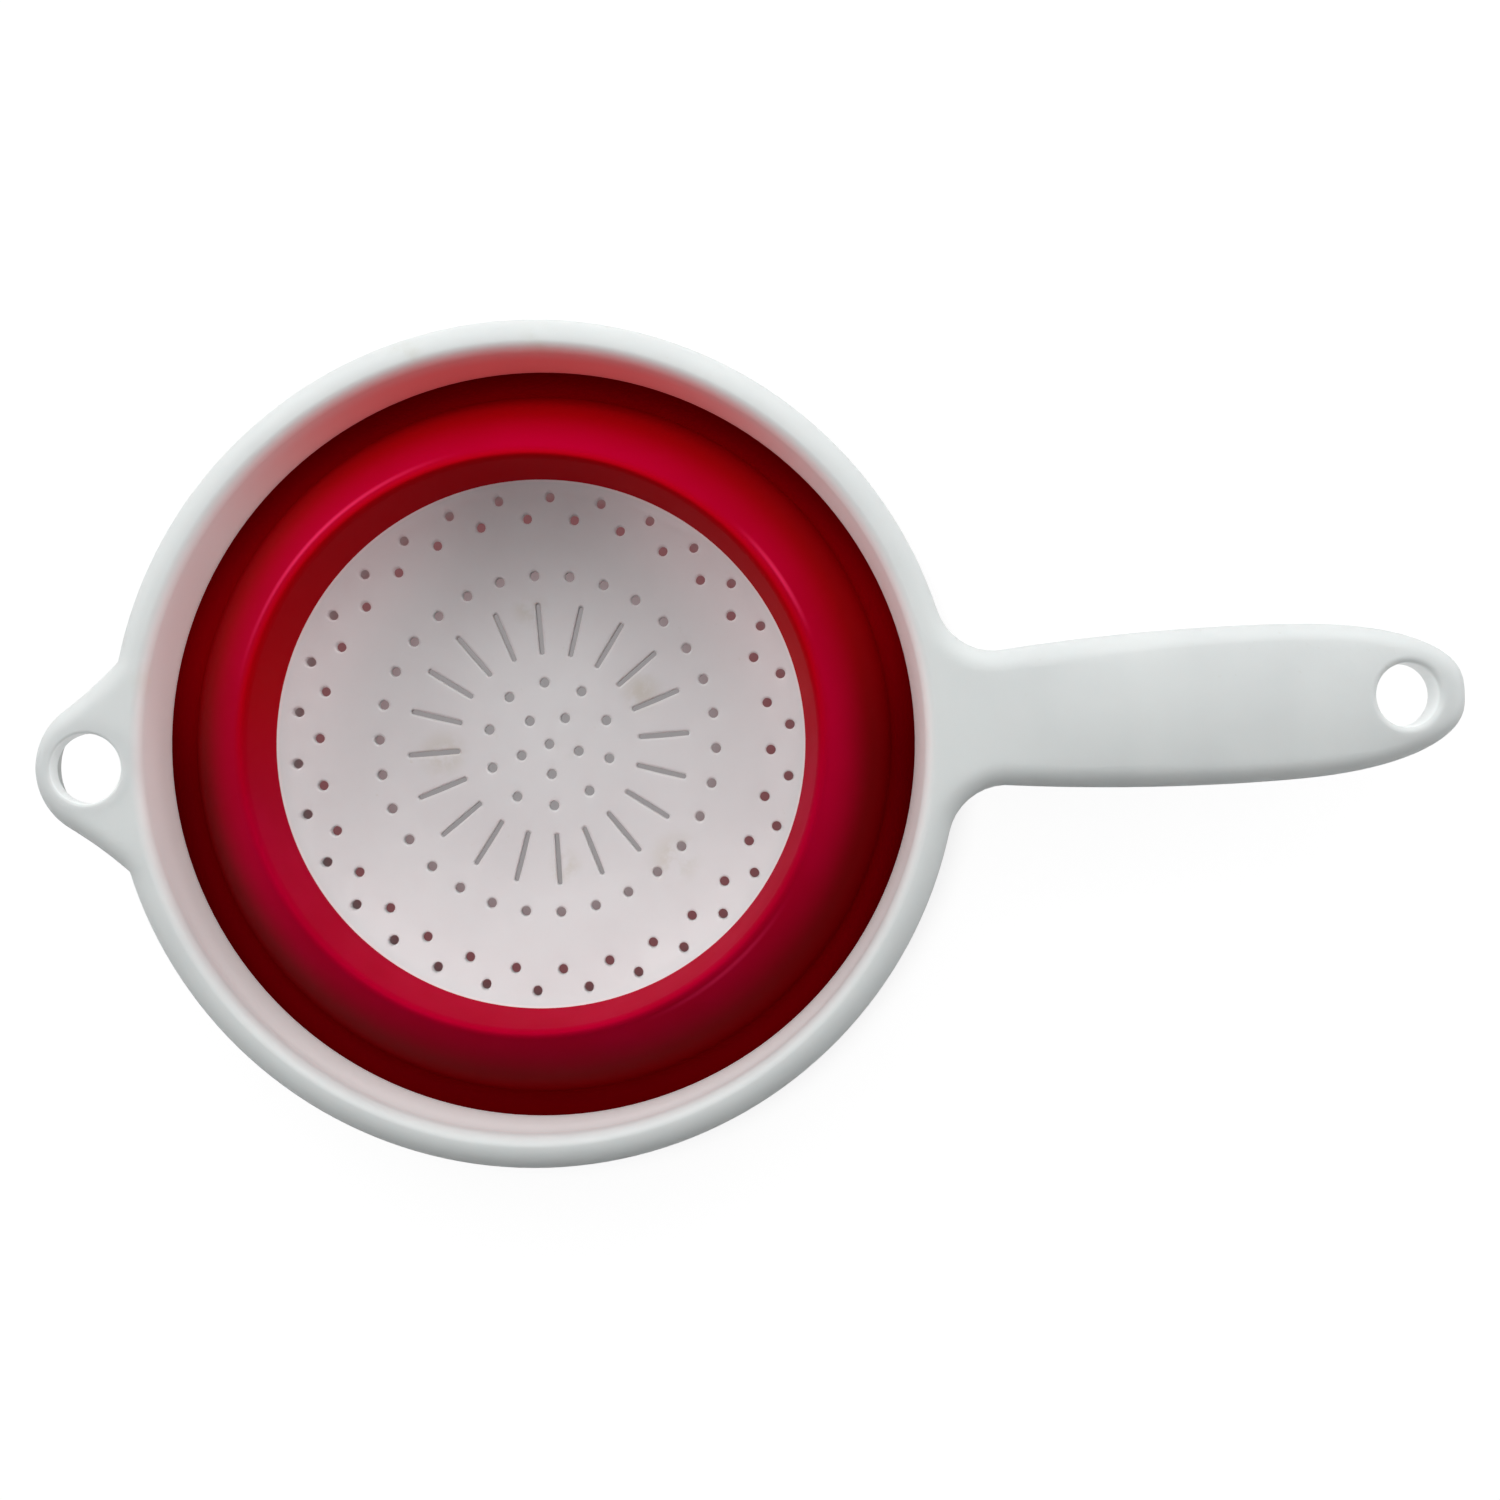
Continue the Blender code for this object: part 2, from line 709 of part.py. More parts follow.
def build_base(axis):
    base = add_object("base", base_shell(), axis, plastic("base", WHITE, WHITE_ROUGHNESS))
    combine(base, add_object("base_foot_gaps", foot_gaps(), axis), "DIFFERENCE")
    combine(base, add_object("base_perforations", perforations(), axis), "DIFFERENCE")


def main():
    clear_scene()
    axis = axis_empty()
    build_frame(axis)
    build_wall_upper(axis)
    build_fold_hoops(axis)
    build_wall_lower(axis)
    build_base(axis)


main()
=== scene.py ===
"""The looks of a collapsible colander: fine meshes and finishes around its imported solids.

Shapes are made about the bowl's axis, with heights from the rim's widest line, and then set in place.
"""

import math

import bmesh
import bpy
from mathutils import Matrix, Vector


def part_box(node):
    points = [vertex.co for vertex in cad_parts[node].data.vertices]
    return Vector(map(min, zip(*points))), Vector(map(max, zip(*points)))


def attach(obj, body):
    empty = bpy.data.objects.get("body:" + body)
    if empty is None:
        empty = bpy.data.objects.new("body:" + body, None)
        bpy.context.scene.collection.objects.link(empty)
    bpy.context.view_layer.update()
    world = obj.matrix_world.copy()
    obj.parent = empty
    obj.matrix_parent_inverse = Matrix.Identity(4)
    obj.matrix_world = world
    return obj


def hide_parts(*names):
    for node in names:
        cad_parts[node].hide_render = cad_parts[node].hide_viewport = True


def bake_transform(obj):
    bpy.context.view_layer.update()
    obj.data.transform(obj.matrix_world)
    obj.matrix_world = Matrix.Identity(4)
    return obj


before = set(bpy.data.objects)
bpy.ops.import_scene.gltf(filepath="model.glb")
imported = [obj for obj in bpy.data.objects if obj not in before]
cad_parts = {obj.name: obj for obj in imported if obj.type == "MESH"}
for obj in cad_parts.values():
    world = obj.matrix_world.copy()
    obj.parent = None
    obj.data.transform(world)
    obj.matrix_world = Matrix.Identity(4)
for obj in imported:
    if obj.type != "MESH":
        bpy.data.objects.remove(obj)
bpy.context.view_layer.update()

# Rim, in metres from the bowl's axis and from the rim's widest line
RIM_RADIUS = 0.1000
RIM_CROWN = 0.0045
RIM_EDGE = 0.0057
RIM_LIP = 0.0070
LIP_DRAFT = 0.0004
MOUTH_RADIUS = 0.0919
MOUTH_ROUND = RIM_RADIUS - RIM_EDGE - MOUTH_RADIUS
MOUTH_DROP = 0.0034
SKIRT_RADIUS = 0.0913
SKIRT_FOOT = -0.0154
FRAME_WALL = 0.0023
LAP_HEIGHT = 0.0030
LAP_SKIN = 0.0010

# A hair's breadth that keeps the faces of neighbouring pieces apart
SEAM = 0.00004

# Handle
HANDLE_REACH = 0.1193
HANDLE_TIP = RIM_RADIUS + HANDLE_REACH
HANDLE_WIDTH = 0.0372
NECK_WIDTH = 0.0318
NECK_FILLET = 0.0140
BELLY_X = RIM_RADIUS + 0.53 * HANDLE_REACH
END_X = RIM_RADIUS + 0.63 * HANDLE_REACH
END_POWER = 2.75
HANDLE_CROWN = 0.0021
NECK_RISE_X = RIM_RADIUS + (BELLY_X - RIM_RADIUS) / 1.6
HANDLE_PINCH = 0.30
HANDLE_HOLE_X = HANDLE_TIP - 0.0151
HANDLE_HOLE_RADIUS = 0.0074
HANDLE_HOLE_ROUND = 0.0018
HANDLE_HOLE_DEPTH = 0.0070
RIB_WALL = 0.0012
RIB_DEPTH = 0.0070
RIB_SHARES = (0.16, 0.32, 0.48, 0.64)

# Hanging ear
EAR_TIP = 0.1175
EAR_ROOT = 0.0248
EAR_TIP_RADIUS = 0.0170
EAR_BOW = 0.0004
EAR_PINCH = 0.38
EAR_HOLE_X = 0.0130 - EAR_TIP
EAR_HOLE_RADIUS = 0.0082
EAR_HOLE_ROUND = 0.0008
EAR_HOLE_DEPTH = 0.0042

# Soft wall
WALL = 0.0018
VALLEY_RADIUS = 0.0880
VALLEY_FLOOR = -0.0184
VALLEY_RUN_UP = 0.0002
FOLD_OUTER = 0.0856
FOLD_FOOT = -0.0170
FOLD_WIDTH = 0.0166
FOLD_RISE = 0.0228
FOLD_ARC = math.radians(36)
FOLD_INNER = FOLD_OUTER - FOLD_WIDTH
FOLD_TOP = FOLD_FOOT + FOLD_RISE
CREST = FOLD_TOP + 0.0006
CREST_DROP = 0.0020
LOWER_RADIUS = 0.0664
LOWER_LEAN = 0.145
CREST_RADIUS = LOWER_RADIUS + 0.45 * (FOLD_INNER - LOWER_RADIUS)

# Strainer base
CUP_RADIUS = 0.0642
CUP_EDGE = -0.0108
FLOOR = -0.0267
PLATE = 0.0020
FOOT_FACE = -0.0317
FOOT_INNER = 0.0374
FOOT_OUTER = 0.0396
FOOT_GAPS = 6
FOOT_GAP_WIDTH = 0.0080
PATTERN_TURN = math.radians(1.4)

# The cup's upper face: distance from the axis and rise over the floor
CUP_LINE = (
    (0.0150, 0.0000),
    (0.0220, 0.0001),
    (0.0300, 0.0006),
    (0.0365, 0.0016),
    (0.0415, 0.0030),
    (0.0490, 0.0056),
    (0.0560, 0.0086),
    (0.0608, 0.0114),
    (0.0628, 0.0134),
    (CUP_RADIUS, CUP_EDGE - FLOOR),
)

# Drain holes, in rings: share of the cup's radius, number of holes and turn in degrees
HOLE_RADIUS = 0.0012
HOLE_ROUND = 0.0005
HOLE_RINGS = (
    (0.000, 1, 0),
    (0.119, 5, -18),
    (0.243, 10, -18),
    (0.659, 30, 6),
    (0.872, 30, 6),
    (0.947, 30, 0),
)
SLOT_COUNT = 20
SLOT_WIDTH = 0.00125
SLOT_ENDS = (0.0227, 0.0356)

# How far the cutters reach past what they cut
DRAIN_CUT_DEPTH = 0.0070
DRAIN_CUT_TOP = 0.0030
FOOT_CUT_PAST = 0.0010
FOOT_CUT_SIDE = 0.0004

# Where the bowl's axis meets the rim's widest line, in the row frame
base_low, base_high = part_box("base")
AXIS = Vector(((base_low.x + base_high.x) / 2, 0, base_low.z - FOOT_FACE))

# Fineness of the meshes
TOUCH = 1e-6
FULL_STEPS = 180
ROUND_STEPS = 8
UNDER_STEPS = 5
SLOPE_STEPS = 4
RIM_SIDE_STEPS = 75
RIM_ROOT_STEPS = 14
HANDLE_STEPS = 26
HOLE_STEPS = 48
ARCH_STEPS = 8
FOLD_STEPS = 28
DRAIN_STEPS = 14
DRAIN_MOUTH_STEPS = 3
SLOT_CUTS = 3
TOP_SPACING = 0.0030
SHELL_SOFTNESS = 0.0004
FINE_SOFTNESS = 0.0002
SKIN_CORNER = math.radians(40)
SOFT_CORNER = math.radians(50)
DRAIN_CORNER = math.radians(35)

# Ways in a section, as (outwards, up)
INWARDS = (-1, 0)
OUTWARDS = (1, 0)
DOWN_THE_SKIRT = (-0.15, -1)
OVER_THE_CREST = (-0.8, 0)
DOWN_THE_WALL = (-0.1, -0.8)


# Lines and places


def polar(radius, angle):
    """The point at this distance and angle from the axis."""
    return (radius * math.cos(angle), radius * math.sin(angle))


def eased(share):
    """A share from 0 to 1 that starts and ends gently."""
    share = min(max(share, 0), 1)
    return share * share * (3 - 2 * share)


def quarter(run, rise, steps=ROUND_STEPS):
    """Points of a quarter ellipse from (0, 0), upright at first and level at (run, rise)."""
    turns = [math.pi / 2 * i / steps for i in range(steps + 1)]
    return [(run * (1 - math.cos(turn)), rise * math.sin(turn)) for turn in turns]


def bend(start, start_way, end, end_way, steps=ROUND_STEPS):
    """Points of a smooth turn between two points, which leaves and arrives in the two given directions."""
    reach = math.dist(start, end)
    points = []
    for i in range(steps + 1):
        t = i / steps
        spread = (2 * t**3 - 3 * t**2 + 1, t**3 - 2 * t**2 + t, 3 * t**2 - 2 * t**3, t**3 - t**2)
        points.append(
            tuple(
                spread[0] * a + spread[1] * reach * way_a + spread[2] * b + spread[3] * reach * way_b
                for a, way_a, b, way_b in zip(start, start_way, end, end_way)
            )
        )
    return points


def smooth_line(points, steps=4):
    """A finer line through all of the points."""
    ends = [points[0], *points, points[-1]]
    finer = []
    for before, start, end, after in zip(ends, ends[1:], ends[2:], ends[3:]):
        for i in range(steps):
            t = i / steps
            finer.append(
                tuple(
                    b + t * (c - a) / 2 + t**2 * (2 * a - 5 * b + 4 * c - d) / 2
                    + t**3 * (3 * b - a - 3 * c + d) / 2
                    for a, b, c, d in zip(before, start, end, after)
                )
            )
    return [*finer, points[-1]]


def beneath(points, depth):
    """The line at this depth under a line that runs outwards from the axis."""
    made = []
    for i, (x, z) in enumerate(points):
        ax, az = points[max(i - 1, 0)]
        bx, bz = points[min(i + 1, len(points) - 1)]
        slope = math.atan2(bz - az, bx - ax)
        made.append((x + depth * math.sin(slope), z - depth * math.cos(slope)))
    return made


# Making and placing meshes


def line_on_spoke(bm, points, angle=0.0, closed=False):
    """Edges through (radius, height) points, standing on the spoke at this angle."""
    corners = [bm.verts.new((*polar(radius, angle), height)) for radius, height in points]
    ends = corners[1:] + corners[:1] if closed else corners[1:]
    return corners + [bm.edges.new(pair) for pair in zip(corners, ends)]


def turned(points, closed=True):
    """A line or a closed section turned once about the bowl's axis."""
    bm = bmesh.new()
    bmesh.ops.spin(
        bm, geom=line_on_spoke(bm, points, closed=closed), cent=(0, 0, 0), axis=(0, 0, 1),
        angle=math.tau, steps=FULL_STEPS, use_merge=True,
    )
    return bm


def ring(section):
    """A closed section turned once about the bowl's axis, with its faces outwards."""
    bm = turned(section)
    bmesh.ops.recalc_face_normals(bm, faces=bm.faces)
    return bm


def facing_up(bm):
    """Turns an open sheet so that its faces look up on the whole, and keeps its edges crisp."""
    for edge in bm.edges:
        edge.smooth = not edge.is_boundary
    bmesh.ops.recalc_face_normals(bm, faces=bm.faces)
    if sum(face.normal.z * face.calc_area() for face in bm.faces) < 0:
        bmesh.ops.reverse_faces(bm, faces=bm.faces)


def piece(name, bm, body, material):
    """Sets a shape on the bowl's axis in the row frame, as a piece of its body."""
    bmesh.ops.translate(bm, verts=bm.verts, vec=AXIS)
    mesh = bpy.data.meshes.new(name)
    bm.to_mesh(mesh)
    bm.free()
    mesh.shade_smooth()
    mesh.materials.append(material)
    made = bpy.data.objects.new(name, mesh)
    bpy.context.scene.collection.objects.link(made)
    if body:
        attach(made, body)
    return made


def add_modifier(target, kind, **settings):
    """Adds a modifier with its settings."""
    modifier = target.modifiers.new(kind.lower(), kind)
    for key, value in settings.items():
        setattr(modifier, key, value)
    return modifier


def give_wall(target, thickness):
    """Gives a sheet its wall, on the side away from its faces."""
    add_modifier(target, "SOLIDIFY", thickness=thickness, offset=-1, use_even_offset=True)


def crisp(target):
    """Smooth faces with crisp corners, for a piece that has to run on into its neighbour."""
    target.data.set_sharp_from_angle(angle=SKIN_CORNER)


def soften(target, width):
    """Rounds what sharp edges are left and keeps broad faces plain."""
    add_modifier(
        target, "BEVEL", width=width, segments=2, limit_method="ANGLE",
        angle_limit=SOFT_CORNER, miter_outer="MITER_ARC",
    )
    add_modifier(target, "WEIGHTED_NORMAL", keep_sharp=True)


# Frame: rim, handle and ear


def neck_centre():
    """The centre of the fillet between the handle's side and the rim."""
    y = NECK_WIDTH / 2 + NECK_FILLET
    return math.sqrt((RIM_RADIUS + NECK_FILLET) ** 2 - y**2), y


def half_width_at(x):
    """Half the handle's width: narrow at the neck, widest at the belly, round at the end."""
    waist = (HANDLE_WIDTH - NECK_WIDTH) / HANDLE_WIDTH
    width = HANDLE_WIDTH / 2 * (1 - waist * ((BELLY_X - x) / (BELLY_X - neck_centre()[0])) ** 2)
    along = min(max((x - END_X) / (HANDLE_TIP - END_X), 0), 1)
    return width * (1 - along**END_POWER) ** (1 / END_POWER)


def handle_path():
    """Round the handle in plan, anticlockwise from the rim and back to it."""
    x, y = neck_centre()
    half = []
    for i in range(HANDLE_STEPS):
        turn = math.pi / 2 * i / HANDLE_STEPS
        place = END_X + (HANDLE_TIP - END_X) * math.cos(turn) ** (2 / END_POWER)
        half.append((place, half_width_at(place)))
    straight = [END_X + (x - END_X) * i / HANDLE_STEPS for i in range(HANDLE_STEPS)]
    half += [(place, half_width_at(place)) for place in straight]
    start, end = -math.pi / 2, math.atan2(y, x) - math.pi
    turns = [start + (end - start) * i / ROUND_STEPS for i in range(ROUND_STEPS + 1)]
    half += [(x + NECK_FILLET * math.cos(turn), y + NECK_FILLET * math.sin(turn)) for turn in turns]
    return [(x, -y) for x, y in reversed(half[1:])] + half


def ear_path():
    """Round the ear in plan, anticlockwise from the rim and back to it."""
    root = Vector((-math.sqrt(RIM_RADIUS**2 - EAR_ROOT**2), EAR_ROOT))
    centre = Vector((EAR_TIP_RADIUS - EAR_TIP, 0))
    away = root - centre
    first = math.atan2(away.y, away.x) + math.acos(EAR_TIP_RADIUS / away.length)
    touch = centre + Vector(polar(EAR_TIP_RADIUS, first))
    inward = Vector((touch.y - root.y, root.x - touch.x)).normalized()
    half = []
    for i in range(ROUND_STEPS):
        share = i / ROUND_STEPS
        bow = EAR_BOW * math.sin(math.pi * share)
        half.append(tuple(root.lerp(touch, share) - bow * inward))
    for i in range(2 * ROUND_STEPS):
        turn = first + (math.pi - first) * i / (2 * ROUND_STEPS)
        half.append(tuple(centre + Vector(polar(EAR_TIP_RADIUS, turn))))
    return half + [(-EAR_TIP, 0)] + [(x, -y) for x, y in reversed(half)]


def inner_side():
    """The skirt's inner face and the rounded mouth over it, as (radius, height) points from the foot up."""
    taper = MOUTH_RADIUS - SKIRT_RADIUS
    shares = [i / SLOPE_STEPS for i in range(SLOPE_STEPS)]
    skirt = [(SKIRT_RADIUS + taper * share, SKIRT_FOOT * (1 - share)) for share in shares]
    mouth = [
        (MOUTH_RADIUS + run, RIM_CROWN - MOUTH_DROP + rise)
        for run, rise in quarter(MOUTH_ROUND, MOUTH_DROP)
    ]
    return skirt + mouth


def outer_edge():
    """The rounded edge and the lip under it, as (inset, height) points from the crown down."""
    lip = [(LIP_DRAFT / 2, -RIM_LIP / 2), (LIP_DRAFT, -RIM_LIP)]
    return [*reversed(quarter(RIM_EDGE, RIM_CROWN)), *lip]


def carried(bm, path, profile, pinch):
    """Carries a profile of (inset, height) points along a plan path that leaves the rim and comes back.

    The pinch is the share by which the insets narrow halfway along the path.
    """
    columns, rows = len(profile), len(path)
    sheet = bmesh.ops.create_grid(bm, x_segments=columns - 1, y_segments=rows - 1, size=1)
    inwards = []
    for i, (x, y) in enumerate(path):
        if i in (0, rows - 1):
            way = Vector((-x, -y))
        else:
            way = Vector((path[i - 1][1] - path[i + 1][1], path[i + 1][0] - path[i - 1][0]))
        inwards.append(way.normalized())
    for vert in sheet["verts"]:
        column = round((vert.co.x + 1) / 2 * (columns - 1))
        row = round((vert.co.y + 1) / 2 * (rows - 1))
        inset, height = profile[column]
        narrowed = inset * (1 - pinch * math.sin(math.pi * row / (rows - 1)))
        vert.co = (*(Vector(path[row]) + narrowed * inwards[row]), height)


def hanging_hole(bm, x, radius, rounding, depth):
    """A hole's rounded mouth and its tube."""
    mouth = [(radius + run, rise - rounding) for run, rise in quarter(rounding, rounding)]
    line = [(radius, -depth), (radius, -(depth + rounding) / 2), *mouth]
    corners = [bm.verts.new((x + reach, 0, RIM_CROWN + height)) for reach, height in line]
    sides = [bm.edges.new(pair) for pair in zip(corners, corners[1:])]
    bmesh.ops.spin(
        bm, geom=corners + sides, cent=(x, 0, 0), axis=(0, 0, 1),
        angle=math.tau, steps=HOLE_STEPS, use_merge=True,
    )


def fill_top(bm, side):
    """Closes the level top of the handle (1) or the ear (-1), in faces small enough to crown."""
    near_top = 0.97 * RIM_CROWN
    rims = [
        edge for edge in bm.edges
        if edge.is_boundary and all(vert.co.z > near_top and side * vert.co.x > 0 for vert in edge.verts)
    ]
    made = bmesh.ops.triangle_fill(bm, use_beauty=True, edges=rims, normal=(0, 0, 1))
    faces = [item for item in made["geom"] if isinstance(item, bmesh.types.BMFace)]
    geometry = faces + list({edge for face in faces for edge in face.edges})
    geometry += list({vert for face in faces for vert in face.verts})
    places = [vert.co.copy() for face in faces for vert in face.verts]
    for axis in (0, 1):
        low = min(place[axis] for place in places)
        high = max(place[axis] for place in places)
        way = Vector((1, 0, 0) if axis == 0 else (0, 1, 0))
        for i in range(1, math.ceil((high - low) / TOP_SPACING)):
            cut = bmesh.ops.bisect_plane(
                bm, geom=geometry, dist=TOUCH, plane_co=way * (low + i * TOP_SPACING), plane_no=way
            )
            geometry = cut["geom"]


def crown_lift(x, y):
    """How far the handle's top stands over a level plate, and nothing at its edges and ends."""
    across = 1 - (y / max(half_width_at(x), TOUCH)) ** 2
    if across <= 0:
        return 0
    neck = eased((x - RIM_RADIUS) / (NECK_RISE_X - RIM_RADIUS))
    end = 1 - eased((x - HANDLE_HOLE_X) / (HANDLE_TIP - HANDLE_HOLE_X))
    return HANDLE_CROWN * across * neck * end


def build_frame(material):
    """The frame's shell: rim and skirt, with the handle and the ear carried on from the rim's edge."""
    bm = bmesh.new()
    inner, edge = inner_side(), outer_edge()
    outer = [(RIM_RADIUS - inset, height) for inset, height in edge]
    neck = math.atan2(*reversed(neck_centre()))
    ear = math.pi - math.asin(EAR_ROOT / RIM_RADIUS)
    arcs = (
        (inner + outer[1:], neck, ear, RIM_SIDE_STEPS),
        (inner, ear, math.tau - ear, RIM_ROOT_STEPS),
        (inner + outer[1:], math.tau - ear, math.tau - neck, RIM_SIDE_STEPS),
        (inner, -neck, neck, RIM_ROOT_STEPS),
    )
    for line, start, end, steps in arcs:
        bmesh.ops.spin(
            bm, geom=line_on_spoke(bm, line, start), cent=(0, 0, 0), axis=(0, 0, 1),
            angle=end - start, steps=steps,
        )
    carried(bm, handle_path(), edge, HANDLE_PINCH)
    carried(bm, ear_path(), edge, EAR_PINCH)
    hanging_hole(bm, HANDLE_HOLE_X, HANDLE_HOLE_RADIUS, HANDLE_HOLE_ROUND, HANDLE_HOLE_DEPTH)
    hanging_hole(bm, EAR_HOLE_X, EAR_HOLE_RADIUS, EAR_HOLE_ROUND, EAR_HOLE_DEPTH)
    bmesh.ops.remove_doubles(bm, verts=bm.verts, dist=10 * TOUCH)
    fill_top(bm, 1)
    fill_top(bm, -1)
    facing_up(bm)
    for vert in bm.verts:
        if vert.co.x > RIM_RADIUS:
            vert.co.z += crown_lift(vert.co.x, vert.co.y)
    shell = piece("frame_shell", bm, "frame", material)
    give_wall(shell, FRAME_WALL)
    soften(shell, SHELL_SOFTNESS)
    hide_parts("frame")


def build_handle_ribs(material):
    """The cross ribs under the handle, whose tops follow its crown."""
    bm = bmesh.new()
    top = RIM_CROWN - FRAME_WALL / 2
    for share in RIB_SHARES:
        x = RIM_RADIUS + HANDLE_REACH * share
        side, shoulder = half_width_at(x) - FRAME_WALL / 2, half_width_at(x) - RIM_EDGE
        places = [shoulder * (1 - 2 * i / ARCH_STEPS) for i in range(ARCH_STEPS + 1)]
        outline = [(-side, RIM_CROWN / 2), (-side, top - RIB_DEPTH)]
        outline += [(side, top - RIB_DEPTH), (side, RIM_CROWN / 2)]
        outline += [(y, top + crown_lift(x, y)) for y in places]
        face = bm.faces.new([bm.verts.new((x - RIB_WALL / 2, y, z)) for y, z in outline])
        grown = bmesh.ops.extrude_face_region(bm, geom=[face], use_keep_orig=True)["geom"]
        moved = [item for item in grown if isinstance(item, bmesh.types.BMVert)]
        bmesh.ops.translate(bm, verts=moved, vec=(RIB_WALL, 0, 0))
    bmesh.ops.recalc_face_normals(bm, faces=bm.faces)
    soften(piece("handle_ribs", bm, "frame", material), FINE_SOFTNESS)


def build_skirt_tongue(material):
    """The tongue under the skirt that the soft wall is moulded against."""
    inner_face = SKIRT_RADIUS + LAP_SKIN
    outer_face = SKIRT_RADIUS + FRAME_WALL - SEAM
    root, tip = SKIRT_FOOT + LAP_HEIGHT / 3, SKIRT_FOOT - LAP_HEIGHT
    section = [(inner_face, root), (inner_face, tip), (outer_face, tip), (outer_face, root)]
    soften(piece("skirt_tongue", ring(section), "frame", material), FINE_SOFTNESS)


# Soft wall


def fold_line():
    """The folding band's upper face from its foot inwards, steep at first and flatter at its crest."""
    turn = FOLD_ARC / 2
    radius = math.hypot(FOLD_WIDTH, FOLD_RISE) / (2 * math.sin(turn))
    slope = math.atan2(FOLD_RISE, FOLD_WIDTH) + turn
    centre_x = FOLD_OUTER - radius * math.sin(slope)
    centre_z = FOLD_FOOT - radius * math.cos(slope)
    turns = [slope - FOLD_ARC * i / FOLD_STEPS for i in range(FOLD_STEPS + 1)]
    return [(centre_x + radius * math.sin(a), centre_z + radius * math.cos(a)) for a in turns]


def fold_way(at_foot):
    """Direction of the band, inwards and up, at its foot or its crest."""
    middle = math.atan2(FOLD_RISE, FOLD_WIDTH)
    slope = middle + FOLD_ARC / 2 if at_foot else middle - FOLD_ARC / 2
    return (-math.cos(slope), math.sin(slope))


def under_end(point, way):
    """The wall's under side below an end of the band, square to the band."""
    return (point[0] - WALL * way[1], point[1] + WALL * way[0])


def build_wall_upper(material):
    """The lap on the skirt and the valley, which stay with the frame."""
    lap_face = SKIRT_RADIUS + LAP_SKIN - SEAM
    outer_face = SKIRT_RADIUS + FRAME_WALL - SEAM
    lap_top, shelf = SKIRT_FOOT - SEAM, SKIRT_FOOT - LAP_HEIGHT - SEAM
    foot, way = (FOLD_OUTER, FOLD_FOOT), fold_way(True)
    start, valley = (SKIRT_RADIUS, lap_top), (VALLEY_RADIUS, VALLEY_FLOOR)
    under_valley = (VALLEY_RADIUS, VALLEY_FLOOR - WALL)
    section = bend(start, DOWN_THE_SKIRT, valley, INWARDS)[:-1] + bend(valley, INWARDS, foot, way)
    section += bend(under_end(foot, way), (-way[0], -way[1]), under_valley, OUTWARDS, UNDER_STEPS)
    section += [(lap_face, VALLEY_FLOOR - WALL + VALLEY_RUN_UP), (outer_face, shelf - WALL / 2)]
    section += [(outer_face, shelf), (lap_face, shelf), (lap_face, lap_top)]
    made = piece("wall_upper_skin", ring(section), "frame", material)
    crisp(made)
    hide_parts("wall_upper")


def build_fold(material):
    """The band between the two fold lines, as one sheet with its wall, on neither body."""
    bm = turned(fold_line(), closed=False)
    facing_up(bm)
    made = piece("wall_fold_skin", bm, None, material)
    give_wall(made, WALL)
    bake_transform(made)
    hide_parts(*(f"wall_fold_{i}" for i in range(1, 9)))


def build_wall_lower(material):
    """The crest and the steep band under it, which stay with the base."""
    crown, way = (FOLD_INNER, FOLD_TOP), fold_way(False)
    middle = (CREST_RADIUS, CREST)
    top, foot = (LOWER_RADIUS, CREST - CREST_DROP), (CUP_RADIUS, CUP_EDGE + SEAM)
    section = bend(crown, way, middle, INWARDS, UNDER_STEPS)[:-1]
    section += bend(middle, OVER_THE_CREST, top, DOWN_THE_WALL)
    for i in range(1, SLOPE_STEPS + 1):
        share = i / SLOPE_STEPS
        section.append((top[0] + (foot[0] - top[0]) * share, top[1] + (foot[1] - top[1]) * share))
    shelf = CUP_EDGE + LAP_HEIGHT
    shelf_radius = foot[0] + (top[0] - foot[0]) / (top[1] - foot[1]) * LAP_HEIGHT
    section += [
        (foot[0] + LAP_SKIN, foot[1]),
        (shelf_radius + LAP_SKIN, shelf),
        (shelf_radius + WALL, shelf),
        (top[0] + WALL, top[1] - WALL / 2),
        under_end(crown, way),
    ]
    made = piece("wall_lower_skin", ring(section), "base", material)
    crisp(made)
    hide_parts("wall_lower")


# Strainer base


def cup_line():
    """The upper face of the dished cup, from the middle outwards."""
    return [(0, FLOOR), *smooth_line([(radius, FLOOR + rise) for radius, rise in CUP_LINE])]


def cup_level(line, radius):
    """Height at this radius of a line that runs outwards."""
    for (x0, z0), (x1, z1) in zip(line, line[1:]):
        if radius <= x1:
            return z0 + (z1 - z0) * (radius - x0) / (x1 - x0)
    return line[-1][1]


def base_section():
    """The base from the middle of its upper face, over its tongue and back under its foot ring."""
    side = cup_line()
    under = beneath(side, PLATE)
    inner_face, tongue = CUP_RADIUS + LAP_SKIN + SEAM, FRAME_WALL - LAP_SKIN
    tongue_top = CUP_EDGE + LAP_HEIGHT - SEAM
    shift = LOWER_LEAN * LAP_HEIGHT
    outer_part = [point for point in reversed(under) if FOOT_OUTER + PLATE / 2 < point[0] < inner_face]
    inner_part = [point for point in reversed(under) if point[0] < FOOT_INNER - PLATE / 2]
    section = [*side, (inner_face, CUP_EDGE), (inner_face + shift, tongue_top)]
    section += [(inner_face + shift + tongue, tongue_top), (inner_face + tongue, CUP_EDGE)]
    section += [*outer_part, (FOOT_OUTER, cup_level(under, FOOT_OUTER)), (FOOT_OUTER, FOOT_FACE)]
    section += [(FOOT_INNER, FOOT_FACE), (FOOT_INNER, cup_level(under, FOOT_INNER)), *inner_part]
    return section


